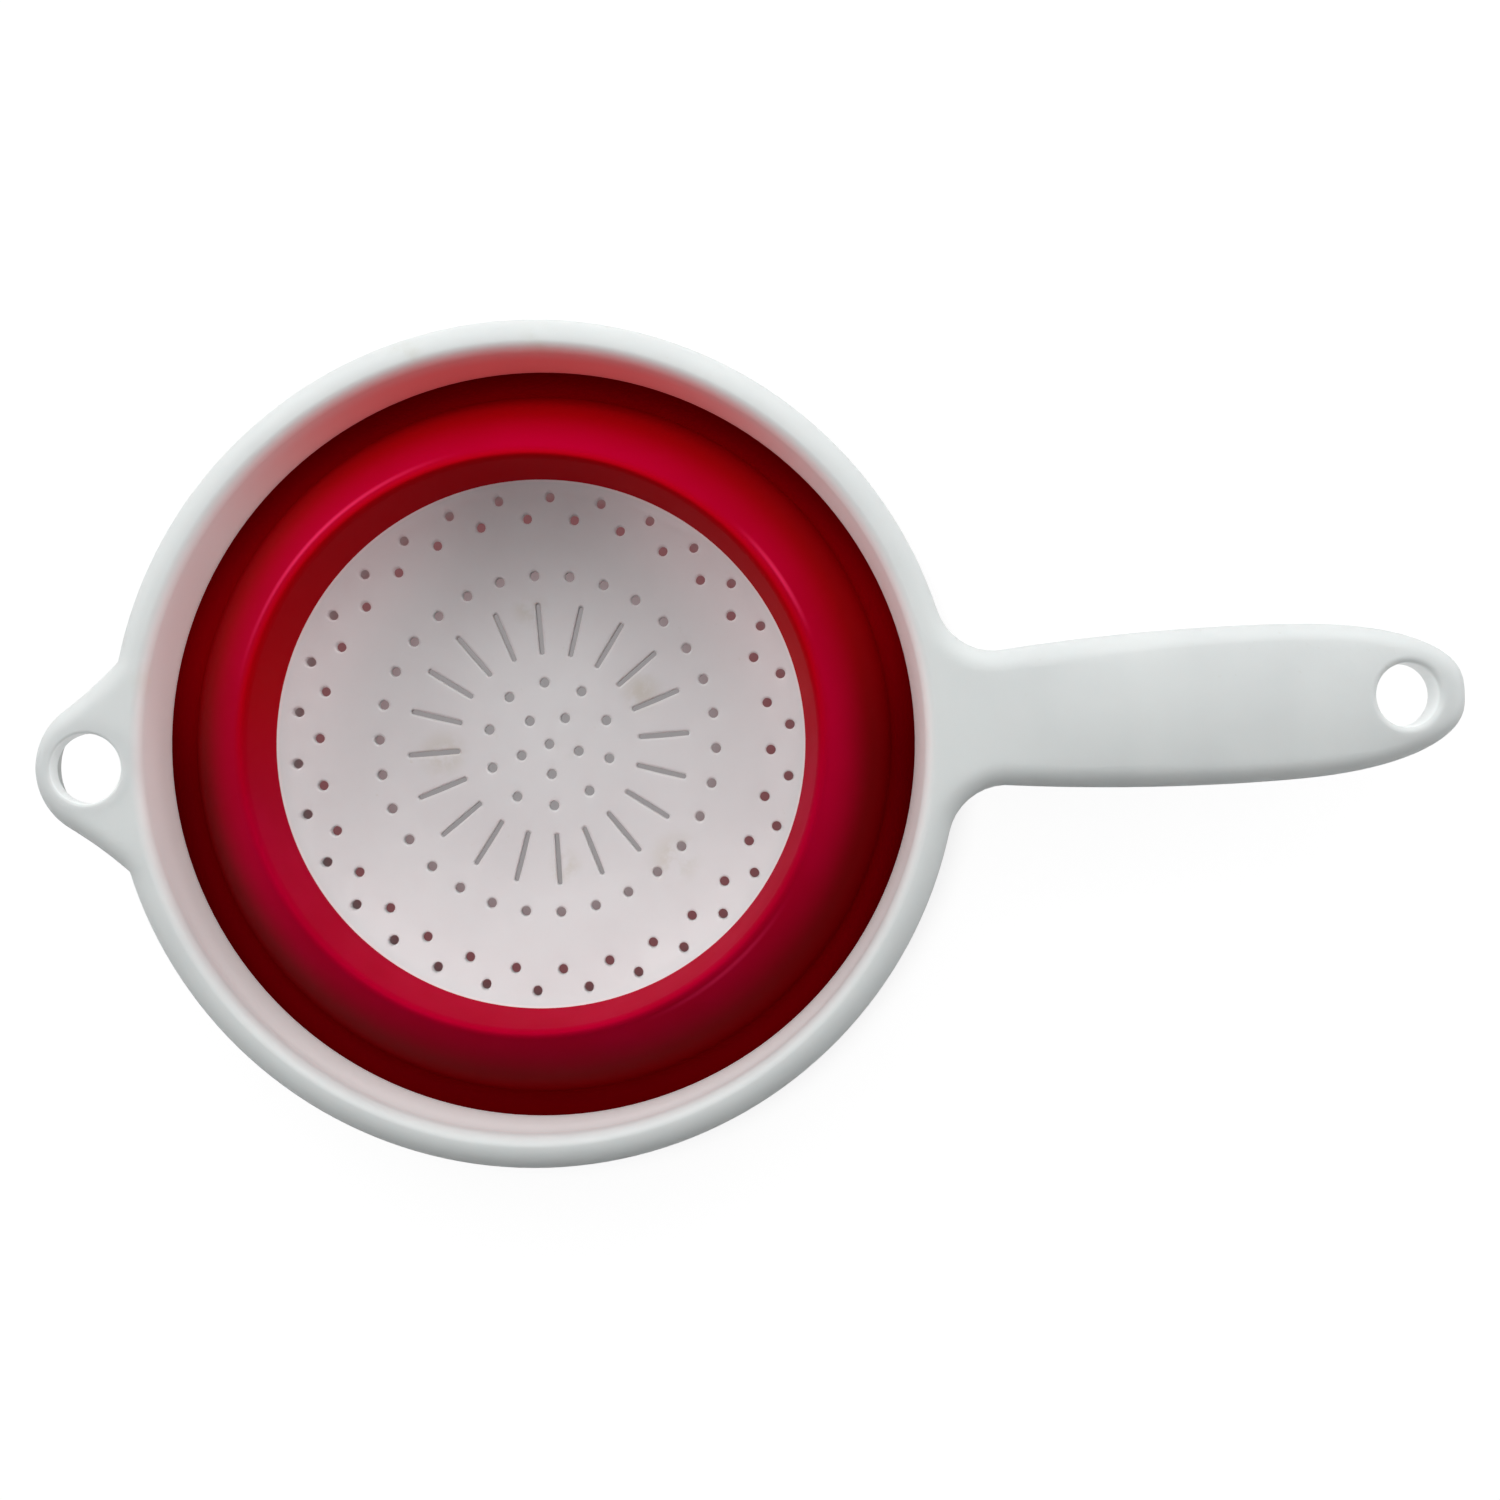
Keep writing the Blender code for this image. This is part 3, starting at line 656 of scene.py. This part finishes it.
def drain_cutter(bm, line, place, angle, width, half_length=0.0):
    """An upright cutter whose rounded mouth follows the cup. Its halves move apart to cut a slot."""
    rounded = quarter(HOLE_ROUND, HOLE_ROUND, DRAIN_MOUTH_STEPS)
    outline = [(0, -DRAIN_CUT_DEPTH), (width / 2, -DRAIN_CUT_DEPTH)]
    outline += [(width / 2 + run, rise - HOLE_ROUND) for run, rise in rounded]
    outline += [(width / 2 + HOLE_ROUND, DRAIN_CUT_TOP), (0, DRAIN_CUT_TOP)]
    fresh = bmesh.new()
    bmesh.ops.spin(
        fresh, geom=line_on_spoke(fresh, outline, math.pi / DRAIN_STEPS), cent=(0, 0, 0), axis=(0, 0, 1),
        angle=math.tau, steps=DRAIN_STEPS, use_merge=True,
    )
    bmesh.ops.remove_doubles(fresh, verts=fresh.verts, dist=TOUCH)
    if half_length:
        for vert in fresh.verts:
            vert.co.x += math.copysign(half_length, vert.co.x) if abs(vert.co.x) > TOUCH else 0
        for i in range(-SLOT_CUTS, SLOT_CUTS + 1):
            bmesh.ops.bisect_plane(
                fresh, geom=[*fresh.verts, *fresh.edges, *fresh.faces], dist=TOUCH,
                plane_co=(half_length * i / (SLOT_CUTS + 0.5), 0, 0), plane_no=(1, 0, 0),
            )
    for vert in fresh.verts:
        vert.co.z += cup_level(line, math.hypot(place + vert.co.x, vert.co.y))
    bmesh.ops.recalc_face_normals(fresh, faces=fresh.faces)
    matrix = Matrix.Rotation(angle, 4, "Z") @ Matrix.Translation((place, 0, 0))
    bmesh.ops.transform(fresh, matrix=matrix, verts=fresh.verts)
    mesh = bpy.data.meshes.new("cutter")
    fresh.to_mesh(mesh)
    fresh.free()
    bm.from_mesh(mesh)
    bpy.data.meshes.remove(mesh)


def base_cutters():
    """Every drain hole and slot, and the gaps in the foot ring."""
    bm = bmesh.new()
    line = cup_line()
    for share, count, turn in HOLE_RINGS:
        for i in range(count):
            angle = PATTERN_TURN + math.radians(turn) + math.tau * i / count
            drain_cutter(bm, line, CUP_RADIUS * share, angle, 2 * HOLE_RADIUS)
    slot_middle = sum(SLOT_ENDS) / 2
    half_length = (SLOT_ENDS[1] - SLOT_ENDS[0] - SLOT_WIDTH) / 2
    for i in range(SLOT_COUNT):
        drain_cutter(bm, line, slot_middle, PATTERN_TURN + math.tau * i / SLOT_COUNT, SLOT_WIDTH, half_length)
    foot_top, foot_width = FLOOR - PLATE, FOOT_OUTER - FOOT_INNER
    gap_middle = ((FOOT_INNER + FOOT_OUTER) / 2, 0, (FOOT_FACE + FLOOR - PLATE) / 2 - FOOT_CUT_PAST / 2)
    gap_size = (foot_width + 2 * FOOT_CUT_SIDE, FOOT_GAP_WIDTH, foot_top - FOOT_FACE + FOOT_CUT_PAST)
    for i in range(FOOT_GAPS):
        turn = Matrix.Rotation(math.tau * i / FOOT_GAPS, 4, "Z")
        bmesh.ops.create_cube(bm, matrix=turn @ Matrix.LocRotScale(gap_middle, None, gap_size))
    return bm


def build_base(material):
    """The strainer base, turned as one solid and pierced by its cutters."""
    bm = turned(base_section(), closed=False)
    bmesh.ops.remove_doubles(bm, verts=bm.verts, dist=TOUCH)
    bmesh.ops.recalc_face_normals(bm, faces=bm.faces)
    base = piece("strainer_base", bm, "base", material)
    cutters = piece("base_cutters", base_cutters(), "base", material)
    cut = add_modifier(base, "BOOLEAN", operation="DIFFERENCE", object=cutters, solver="EXACT")
    bpy.context.view_layer.update()
    graph = bpy.context.evaluated_depsgraph_get()
    pierced = bpy.data.meshes.new_from_object(base.evaluated_get(graph))
    base.modifiers.remove(cut)
    base.data = pierced
    bpy.data.objects.remove(cutters)
    pierced.set_sharp_from_angle(angle=DRAIN_CORNER)
    add_modifier(base, "WEIGHTED_NORMAL", keep_sharp=True)
    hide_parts("base")


# Writing finishes as sums


class Value:
    """An output of a node, on which sums are written as in Python."""

    def __init__(self, nodes, socket):
        self.nodes = nodes
        self.socket = socket

    def worked(self, operation, *inputs):
        """The result of a Math node on these inputs."""
        return self.nodes.add("ShaderNodeMath", {"operation": operation}, dict(enumerate(inputs)))

    def __add__(self, other):
        return self.worked("ADD", self, other)

    def __rsub__(self, other):
        return self.worked("SUBTRACT", other, self)

    def __mul__(self, other):
        return self.worked("MULTIPLY", self, other)

    __radd__ = __add__
    __rmul__ = __mul__


class Nodes:
    """A node tree and the one way in which nodes are added to it."""

    def __init__(self, tree):
        self.tree = tree

    def add(self, kind, settings=None, inputs=None, output=0):
        """Adds a node, sets it up, fills its inputs with values or links and gives back one output."""
        node = self.tree.nodes.new(kind)
        for key, value in (settings or {}).items():
            setattr(node, key, value)
        for key, value in (inputs or {}).items():
            self.feed(node.inputs[key], value)
        return Value(self, node.outputs[output])

    def feed(self, socket, value):
        """Links a value to a socket, or sets the socket to a number or a colour."""
        if isinstance(value, Value):
            self.tree.links.new(value.socket, socket)
        else:
            socket.default_value = value


class Finish(Nodes):
    """A material, with places and patterns on its piece in the row frame."""

    def __init__(self, name):
        self.material = bpy.data.materials.new(name)
        self.material.use_nodes = True
        super().__init__(self.material.node_tree)
        self.shader = self.tree.nodes["Principled BSDF"]

    def set(self, **inputs):
        """Feeds the shader's own inputs, whose names are written with underscores for spaces."""
        for key, value in inputs.items():
            self.feed(self.shader.inputs[key.replace("_", " ")], value)

    def place(self):
        """The place on the piece."""
        return self.add("ShaderNodeTexCoord", output="Object")

    def noise(self, place, scale, detail, roughness=0.5):
        """An even cloud between 0 and 1."""
        sockets = {"Vector": place, "Scale": scale, "Detail": detail, "Roughness": roughness}
        return self.add("ShaderNodeTexNoise", inputs=sockets)

    def ramp(self, value, low, high):
        """0 below low, 1 above high and smooth between them."""
        sockets = {"Value": value, "From Min": low, "From Max": high}
        return self.add("ShaderNodeMapRange", {"interpolation_type": "SMOOTHSTEP"}, sockets)

    def band(self, value, rise, fall):
        """0, then 1 after the rise, then 0 again after the fall."""
        return self.ramp(value, *rise) * (1 - self.ramp(value, *fall))

    def mix(self, factor, first, second):
        """The first colour at 0 and the second at 1."""
        sockets = {0: factor, 6: first, 7: second}
        return self.add("ShaderNodeMix", {"data_type": "RGBA"}, sockets, 2)

    def spot(self, place, centre, radius):
        """1 at a point, given from the bowl's axis and the rim's widest line, and 0 beyond the radius."""
        sockets = {0: place, 1: tuple(AXIS + Vector(centre))}
        gap = self.add("ShaderNodeVectorMath", {"operation": "DISTANCE"}, sockets, "Value")
        return 1 - self.ramp(gap, 0.0, radius)

    def axis_gap(self, x=0.0):
        """Distance from the bowl's axis, or from an upright line on the handle's centre line."""
        flat = self.add("ShaderNodeVectorMath", {"operation": "MULTIPLY"}, {0: self.place(), 1: (1, 1, 0)})
        sockets = {0: flat, 1: (AXIS.x + x, 0, 0)}
        return self.add("ShaderNodeVectorMath", {"operation": "DISTANCE"}, sockets, "Value")

    def along(self, way):
        """Distance from the bowl's axis along a level direction."""
        from_axis = self.add("ShaderNodeVectorMath", {"operation": "SUBTRACT"}, {0: self.place(), 1: AXIS})
        sockets = {0: from_axis, 1: way}
        return self.add("ShaderNodeVectorMath", {"operation": "DOT_PRODUCT"}, sockets, "Value")

    def height(self):
        """Height over the face of the foot ring."""
        return self.add("ShaderNodeSeparateXYZ", inputs={0: self.place()}, output=2)

    def bump(self, height, strength, distance):
        """The surface's normal, tilted by a fine relief."""
        sockets = {"Height": height, "Strength": strength, "Distance": distance}
        return self.add("ShaderNodeBump", inputs=sockets)


# Level directions from the bowl's axis, with the handle on the right
TO_NEAR = (0, -1, 0)
TO_FAR = (0, 1, 0)
TO_HANDLE = (1, 0, 0)
TO_EAR = (-1, 0, 0)

BLACK = (0, 0, 0, 1)


# White plastics

# The ends between which each pattern fades in
CLOUD_SPREAD = (0.3, 0.7)
SPECK_SPREAD, SPECK_CLOUDS = (0.70, 0.78), (0.45, 0.65)
STAIN_SPREAD = (0.38, 0.62)

# Food stains: where each lies from the bowl's axis and the rim's widest line, and its radius
STAIN = (0.42, 0.36, 0.16, 1)
RIM_STAINS = (
    ((-0.090, 0.020, 0.001), 0.006),
    ((0.008, 0.094, 0.003), 0.008),
    ((-0.024, 0.093, 0.003), 0.006),
)
CUP_STAINS = (
    ((-0.027, -0.001, -0.026), 0.008),
    ((0.024, 0.012, -0.026), 0.007),
    ((-0.003, 0.034, -0.024), 0.006),
    ((0.005, -0.001, -0.026), 0.004),
    ((0.030, -0.030, -0.022), 0.009),
    ((0.002, -0.031, -0.026), 0.006),
)
RIM_STAIN_SHARE = 0.16
CUP_STAIN_SHARE = 0.30
SPECK_SHARE = 0.10

COOL_WHITE = (0.80, 0.83, 0.82, 1)
COOL_CLOUD = (0.76, 0.79, 0.785, 1)

# Painted reflection of the red wall in the mouth, as tints of the white, and painted glow: on the far side,
# towards the handle and the ear, and on the near side
FAR_RED_REFLECTION = (0.98, 0.44, 0.44, 1)
SIDE_RED_REFLECTION = (0.99, 0.90, 0.895, 1)
FAR_PAINTED_GLOW = (0.19, 0.025, 0.027, 1)
SIDE_PAINTED_GLOW = (0.195, 0.162, 0.160, 1)
NEAR_PAINTED_GLOW = (0.210, 0.210, 0.208, 1)
FAR_TO_SIDE = (-SKIRT_RADIUS, -0.55 * SKIRT_RADIUS)
SIDE_TO_NEAR = (-0.1 * SKIRT_RADIUS, 0.7 * SKIRT_RADIUS)
PAINTED_LIGHT_FOOT = -0.006
SKIRT_OUTSIDE = (0.0923, 0.0929)
SKIRT_ROOT = (0.0004, 0.0014)
# Painted glow on the inner faces of the hanging holes, which lightens their shade
TUBE_PAINTED_GLOW = (0.20, 0.20, 0.20, 1)
TUBE_SKIN = 0.0004

# The cup is painted lighter towards its middle, as painted light, with a painted highlight along its lip and
# a faint painted glow where the red wall stands behind it
LIT_MIDDLE_WHITE = (0.89, 0.885, 0.89, 1)
LIT_MIDDLE_CLOUD = (0.85, 0.84, 0.845, 1)
OUTER_WHITE = (0.80, 0.795, 0.80, 1)
OUTER_CLOUD = (0.755, 0.745, 0.75, 1)
MIDDLE_TO_OUTER = (0.2 * CUP_RADIUS, 0.9 * CUP_RADIUS)
# Painted highlight: a thin pale line along the cup's lip
LIP_HIGHLIGHT = (0.90, 0.82, 0.82, 1)
LIP_HIGHLIGHT_RISE, LIP_HIGHLIGHT_FALL = (0.0636, 0.0640), (0.0643, 0.0645)
# Painted glow on the cup's outer part, on the far side and towards the handle and the ear
CUP_PAINTED_GLOW = (0.085, 0.055, 0.056, 1)
GLOW_OUTWARDS = (0.040, 0.0635)
GLOW_FARWARDS = (-0.02, 0.03)
GLOW_SIDEWAYS = (0.008, 0.040)


def white_plastic(finish, colour, clouded, stains, stain_share):
    """Satin moulded plastic: a cloudy white with a fine eggshell grain and a few faint food stains."""
    place = finish.place()
    cloud = finish.noise(place, scale=30.0, detail=3.0)
    grain = finish.noise(place, scale=2600.0, detail=1.0)
    wear = finish.noise(place, scale=140.0, detail=4.0, roughness=0.6)
    speck = finish.noise(place, scale=520.0, detail=2.0)
    tone = finish.mix(finish.ramp(cloud, *CLOUD_SPREAD), colour, clouded)
    mark = finish.ramp(speck, *SPECK_SPREAD) * finish.ramp(cloud, *SPECK_CLOUDS) * SPECK_SHARE
    for centre, radius in stains:
        mark = mark + finish.spot(place, centre, radius) * finish.ramp(wear, *STAIN_SPREAD) * stain_share
    stained = finish.mix(mark, tone, STAIN)
    finish.set(
        Base_Color=stained,
        Roughness=0.34 + 0.10 * cloud + 0.05 * wear,
        Normal=finish.bump(grain + 1.5 * wear, strength=0.12, distance=0.00006),
        IOR=1.46,
        Subsurface_Weight=0.6,
        Subsurface_Radius=(1.0, 0.9, 0.88),
        Subsurface_Scale=0.004,
    )
    return stained


def frame_plastic():
    """The cool white of the frame, with a painted red reflection and a painted glow inside the mouth,
    strongest on the far side, and a painted glow in the hanging holes.
    """
    finish = Finish("cool_white_plastic")
    white = white_plastic(finish, COOL_WHITE, COOL_CLOUD, RIM_STAINS, RIM_STAIN_SHARE)
    gap, height = finish.axis_gap(), finish.height()
    under_crown = 1 - finish.ramp(height, *(AXIS.z + rise for rise in SKIRT_ROOT))
    outside = finish.ramp(gap, *SKIRT_OUTSIDE) * under_crown
    inside = (1 - finish.ramp(gap, MOUTH_RADIUS, MOUTH_RADIUS + MOUTH_ROUND)) * (1 - outside)
    # Painted light in the mouth: a red reflection tint on its low part and a glow, redder on the far side
    low = 1 - finish.ramp(height, AXIS.z + PAINTED_LIGHT_FOOT, AXIS.z + RIM_CROWN)
    sideways = finish.ramp(finish.along(TO_NEAR), *FAR_TO_SIDE)
    near = finish.ramp(finish.along(TO_NEAR), *SIDE_TO_NEAR)
    red_reflection = finish.mix(sideways, FAR_RED_REFLECTION, SIDE_RED_REFLECTION)
    side_painted_glow = finish.mix(near, SIDE_PAINTED_GLOW, finish.mix(low, BLACK, NEAR_PAINTED_GLOW))
    painted_glow = finish.mix(inside, BLACK, finish.mix(sideways, FAR_PAINTED_GLOW, side_painted_glow))
    # Painted glow that lightens the shaded tubes of the hanging holes
    holes = ((HANDLE_HOLE_X, HANDLE_HOLE_RADIUS), (EAR_HOLE_X, EAR_HOLE_RADIUS))
    tube_glow_mask = sum(1 - finish.ramp(finish.axis_gap(x), radius, radius + TUBE_SKIN) for x, radius in holes)
    finish.set(
        Base_Color=finish.mix(inside * low, white, red_reflection),
        Emission_Color=finish.mix(tube_glow_mask, painted_glow, TUBE_PAINTED_GLOW),
        Emission_Strength=1.0,
    )
    return finish.material


def base_plastic():
    """The warmer white of the strainer base, with food stains round its drain holes, painted lighter towards
    its middle, a painted highlight along its lip and a faint painted glow near the red wall.
    """
    finish = Finish("warm_white_plastic")
    gap = finish.axis_gap()
    # Painted light: the white is lighter towards the middle of the cup
    outwards = finish.ramp(gap, *MIDDLE_TO_OUTER)
    colour = finish.mix(outwards, LIT_MIDDLE_WHITE, OUTER_WHITE)
    clouded = finish.mix(outwards, LIT_MIDDLE_CLOUD, OUTER_CLOUD)
    white = white_plastic(finish, colour, clouded, CUP_STAINS, CUP_STAIN_SHARE)
    # Painted glow near the red wall, on the far side and towards the handle and the ear
    sides = sum(finish.ramp(finish.along(way), *GLOW_SIDEWAYS) for way in (TO_HANDLE, TO_EAR))
    far = finish.ramp(finish.along(TO_FAR), *GLOW_FARWARDS)
    finish.set(
        # A painted highlight along the lip
        Base_Color=finish.mix(finish.band(gap, LIP_HIGHLIGHT_RISE, LIP_HIGHLIGHT_FALL), white, LIP_HIGHLIGHT),
        Emission_Color=finish.mix(finish.ramp(gap, *GLOW_OUTWARDS) * far * sides, BLACK, CUP_PAINTED_GLOW),
        Emission_Strength=1.0,
    )
    return finish.material


# Crimson elastomer

CRIMSON = (0.47, 0.0, 0.026, 1)
CRIMSON_CLOUD = (0.43, 0.0, 0.020, 1)
RUBBED = (0.56, 0.001, 0.045, 1)
RUBBED_SPREAD, RUBBED_SHARE = (0.55, 0.75), 0.12
# Painted shade: the inner wall under the crest, on the far half, loses its blue
FAR_SHADE_RED = (0.47, 0.0, 0.004, 1)
# Painted highlight red for the crest line
HIGHLIGHT_RED = (0.80, 0.025, 0.105, 1)
# Painted shade: the red darkens towards the valley, more on the near half
FAR_VALLEY_SHADE = (0.30, 0.0, 0.002, 1)
NEAR_VALLEY_SHADE = (0.17, 0.0, 0.001, 1)

# Where the reds change: distances from the bowl's axis, then along the level directions
CREST_TO_VALLEY = (0.069, 0.081)
FAR_VALLEY_SHIFT = 0.0012
FAR_SHADE_TO_CREST = (0.0670, 0.0700)
CREST_LINE_RISE, CREST_LINE_FALL = (0.0688, 0.0696), (0.0696, 0.0705)
FAR_HALF = (-0.02, 0.02)
NEAR_HALF = (-0.035, 0.012)

# Painted highlights on stretches of the crest: where each lies from the bowl's axis, its reach and its share
CREST_HIGHLIGHTS = (
    ((-0.0480, 0.0515, FOLD_TOP), 0.042, 1.0),
    ((0.0600, 0.0360, FOLD_TOP), 0.018, 0.8),
    ((0.0420, -0.0550, FOLD_TOP), 0.026, 0.5),
)


def soft_red():
    """Satin crimson elastomer: deep, with a faint cloud, a soft sheen and a fine grain, painted shade towards
    the valley and on the far half of the inner wall, and painted highlights along the crest.
    """
    finish = Finish("crimson_elastomer")
    place, gap = finish.place(), finish.axis_gap()
    cloud = finish.noise(place, scale=45.0, detail=2.0)
    grain = finish.noise(place, scale=1800.0, detail=2.0)
    wear = finish.noise(place, scale=160.0, detail=4.0, roughness=0.6)
    tone = finish.mix(finish.ramp(cloud, *CLOUD_SPREAD), CRIMSON, CRIMSON_CLOUD)
    rubbed = finish.mix(finish.ramp(wear, *RUBBED_SPREAD) * RUBBED_SHARE, tone, RUBBED)
    far = finish.ramp(finish.along(TO_FAR), *FAR_HALF)
    near = finish.ramp(finish.along(TO_NEAR), *NEAR_HALF)
    # Painted shade on the far half of the inner wall
    far_shade = (1 - finish.ramp(gap, *FAR_SHADE_TO_CREST)) * far
    highlight_stretches = sum(finish.spot(place, centre, reach) * share for centre, reach, share in CREST_HIGHLIGHTS)
    crest_highlight = finish.band(gap, CREST_LINE_RISE, CREST_LINE_FALL) * highlight_stretches
    crest = finish.mix(crest_highlight, finish.mix(far_shade, rubbed, FAR_SHADE_RED), HIGHLIGHT_RED)
    # Painted shade towards the valley, darker on the near half
    valley = finish.mix(near, FAR_VALLEY_SHADE, NEAR_VALLEY_SHADE)
    finish.set(
        Base_Color=finish.mix(finish.ramp(gap + FAR_VALLEY_SHIFT * far, *CREST_TO_VALLEY), crest, valley),
        Roughness=0.44 + 0.12 * cloud + 0.06 * wear,
        Normal=finish.bump(grain + wear, strength=0.15, distance=0.00005),
        IOR=1.40,
        Specular_IOR_Level=0.025,
        Specular_Tint=(1.0, 0.1, 0.5, 1),
        Subsurface_Weight=0.12,
        Subsurface_Radius=(1.0, 0.05, 0.08),
        Subsurface_Scale=0.0025,
    )
    return finish.material


# Studio

# The floor, which shines for the camera alone: pale in the open, dim under the bowl in painted shade, with a
# painted red reflection under the wall, and plain in between
GROUND_HALF = 6
GROUND_GREY = (0.86, 0.86, 0.86, 1)
GROUND_GLOW = 0.85
OPEN_WHITE = (1.1, 1.1, 1.1, 1)
SHADE_UNDER_BASE = (0.34, 0.32, 0.325, 1)
RED_SHADE_UNDER_WALL = (0.20, 0.070, 0.076, 1)
CUP_END = (0.060, 0.068)
OPEN_FLOOR = (0.080, 0.112)
BASE_TO_WALL = (0.032, 0.057)
WALL_TO_OPEN = (0.068, 0.080)

# The room's light: its strength on the object, while the camera sees it in full
AMBIENT = 0.13
ROOM_WHITE = (0.97, 0.985, 1, 1)

# Lamps: name, place, the point that each faces, size and power
BOWL_MIDDLE = (0, 0, 0.02)
LAMPS = (
    ("window", (-0.62, 0.87, 0.62), BOWL_MIDDLE, (0.7, 0.9), 4.4),
    ("window", (0.50, 0.87, 0.62), BOWL_MIDDLE, (0.7, 0.9), 4.4),
    ("ceiling", (0.0, 0.60, 1.30), (0, 0, 0), (1.1, 1.1), 7.0),
    ("side_wall", (-1.15, 0.15, 0.50), BOWL_MIDDLE, (1.0, 0.6), 2.8),
    ("side_wall", (1.15, 0.15, 0.50), BOWL_MIDDLE, (1.0, 0.6), 2.8),
)

# Camera, straight above the middle of the colander
CAMERA_X = -0.0003
CAMERA_Y = -0.0043
CAMERA_RISE = 0.370
CAMERA_TURN = math.radians(-3.2)
CAMERA_SENSOR = 36
CAMERA_LENS = 37.63


def matte_ground():
    """White to the camera round the object, whose shadow is kept, and dim under the bowl in painted shade."""
    finish = Finish("ground")
    finish.set(Base_Color=GROUND_GREY, Roughness=0.9)
    seen = finish.add("ShaderNodeLightPath", output="Is Camera Ray")
    gap = finish.axis_gap()
    shining = 1 - finish.ramp(gap, *CUP_END) + finish.ramp(gap, *OPEN_FLOOR)
    # Painted shade under the bowl, grey under the base and red under the wall
    under = finish.mix(finish.ramp(gap, *BASE_TO_WALL), SHADE_UNDER_BASE, RED_SHADE_UNDER_WALL)
    colour = finish.mix(finish.ramp(gap, *WALL_TO_OPEN), under, OPEN_WHITE)
    glow = finish.add("ShaderNodeEmission", inputs={"Color": colour})
    lit = Value(finish, finish.shader.outputs["BSDF"])
    blended = finish.add("ShaderNodeMixShader", inputs={0: seen * GROUND_GLOW * shining, 1: lit, 2: glow})
    finish.feed(finish.tree.nodes["Material Output"].inputs["Surface"], blended)
    return finish.material


def build_ground():
    """The floor that the foot ring stands on, so it keeps to the base when the bowl unfolds."""
    bm = bmesh.new()
    bmesh.ops.create_grid(bm, x_segments=1, y_segments=1, size=GROUND_HALF)
    mesh = bpy.data.meshes.new("ground")
    bm.to_mesh(mesh)
    bm.free()
    mesh.materials.append(matte_ground())
    ground = bpy.data.objects.new("ground", mesh)
    bpy.context.scene.collection.objects.link(ground)
    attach(ground, "base")


def build_world():
    """A pale room that fills the shadows a little and is white behind the object."""
    world = bpy.data.worlds.new("studio")
    bpy.context.scene.world = world
    world.use_nodes = True
    room = Nodes(world.node_tree)
    background = room.tree.nodes["Background"]
    seen = room.add("ShaderNodeLightPath", output="Is Camera Ray")
    strength = room.add("ShaderNodeMapRange", inputs={"Value": seen, "To Min": AMBIENT})
    room.feed(background.inputs["Strength"], strength)
    room.feed(background.inputs["Color"], ROOM_WHITE)


def softbox(name, spot, target, size, power):
    """A soft rectangular lamp that faces its target."""
    light = bpy.data.lights.new(name, "AREA")
    light.shape = "RECTANGLE"
    light.size, light.size_y = size
    light.energy = power
    lamp = bpy.data.objects.new(name, light)
    bpy.context.scene.collection.objects.link(lamp)
    lamp.location = spot
    lamp.rotation_mode = "QUATERNION"
    lamp.rotation_quaternion = (Vector(target) - Vector(spot)).to_track_quat("-Z", "Y")


def build_camera():
    """The camera over the colander, at the photograph's viewing angle."""
    camera = bpy.data.cameras.new("photo_view")
    camera.sensor_width = CAMERA_SENSOR
    camera.lens = CAMERA_LENS
    holder = bpy.data.objects.new("photo_view", camera)
    bpy.context.scene.collection.objects.link(holder)
    holder.location = (CAMERA_X, CAMERA_Y, AXIS.z + CAMERA_RISE)
    holder.rotation_euler = (0, 0, CAMERA_TURN)
    bpy.context.scene.camera = holder
    bpy.context.scene.view_settings.view_transform = "Standard"


def main():
    """Builds the dressed colander and its studio."""
    white = frame_plastic()
    warm = base_plastic()
    red = soft_red()
    build_frame(white)
    build_handle_ribs(white)
    build_skirt_tongue(white)
    build_wall_upper(red)
    build_fold(red)
    build_wall_lower(red)
    build_base(warm)
    build_ground()
    build_world()
    for lamp in LAMPS:
        softbox(*lamp)
    build_camera()


main()
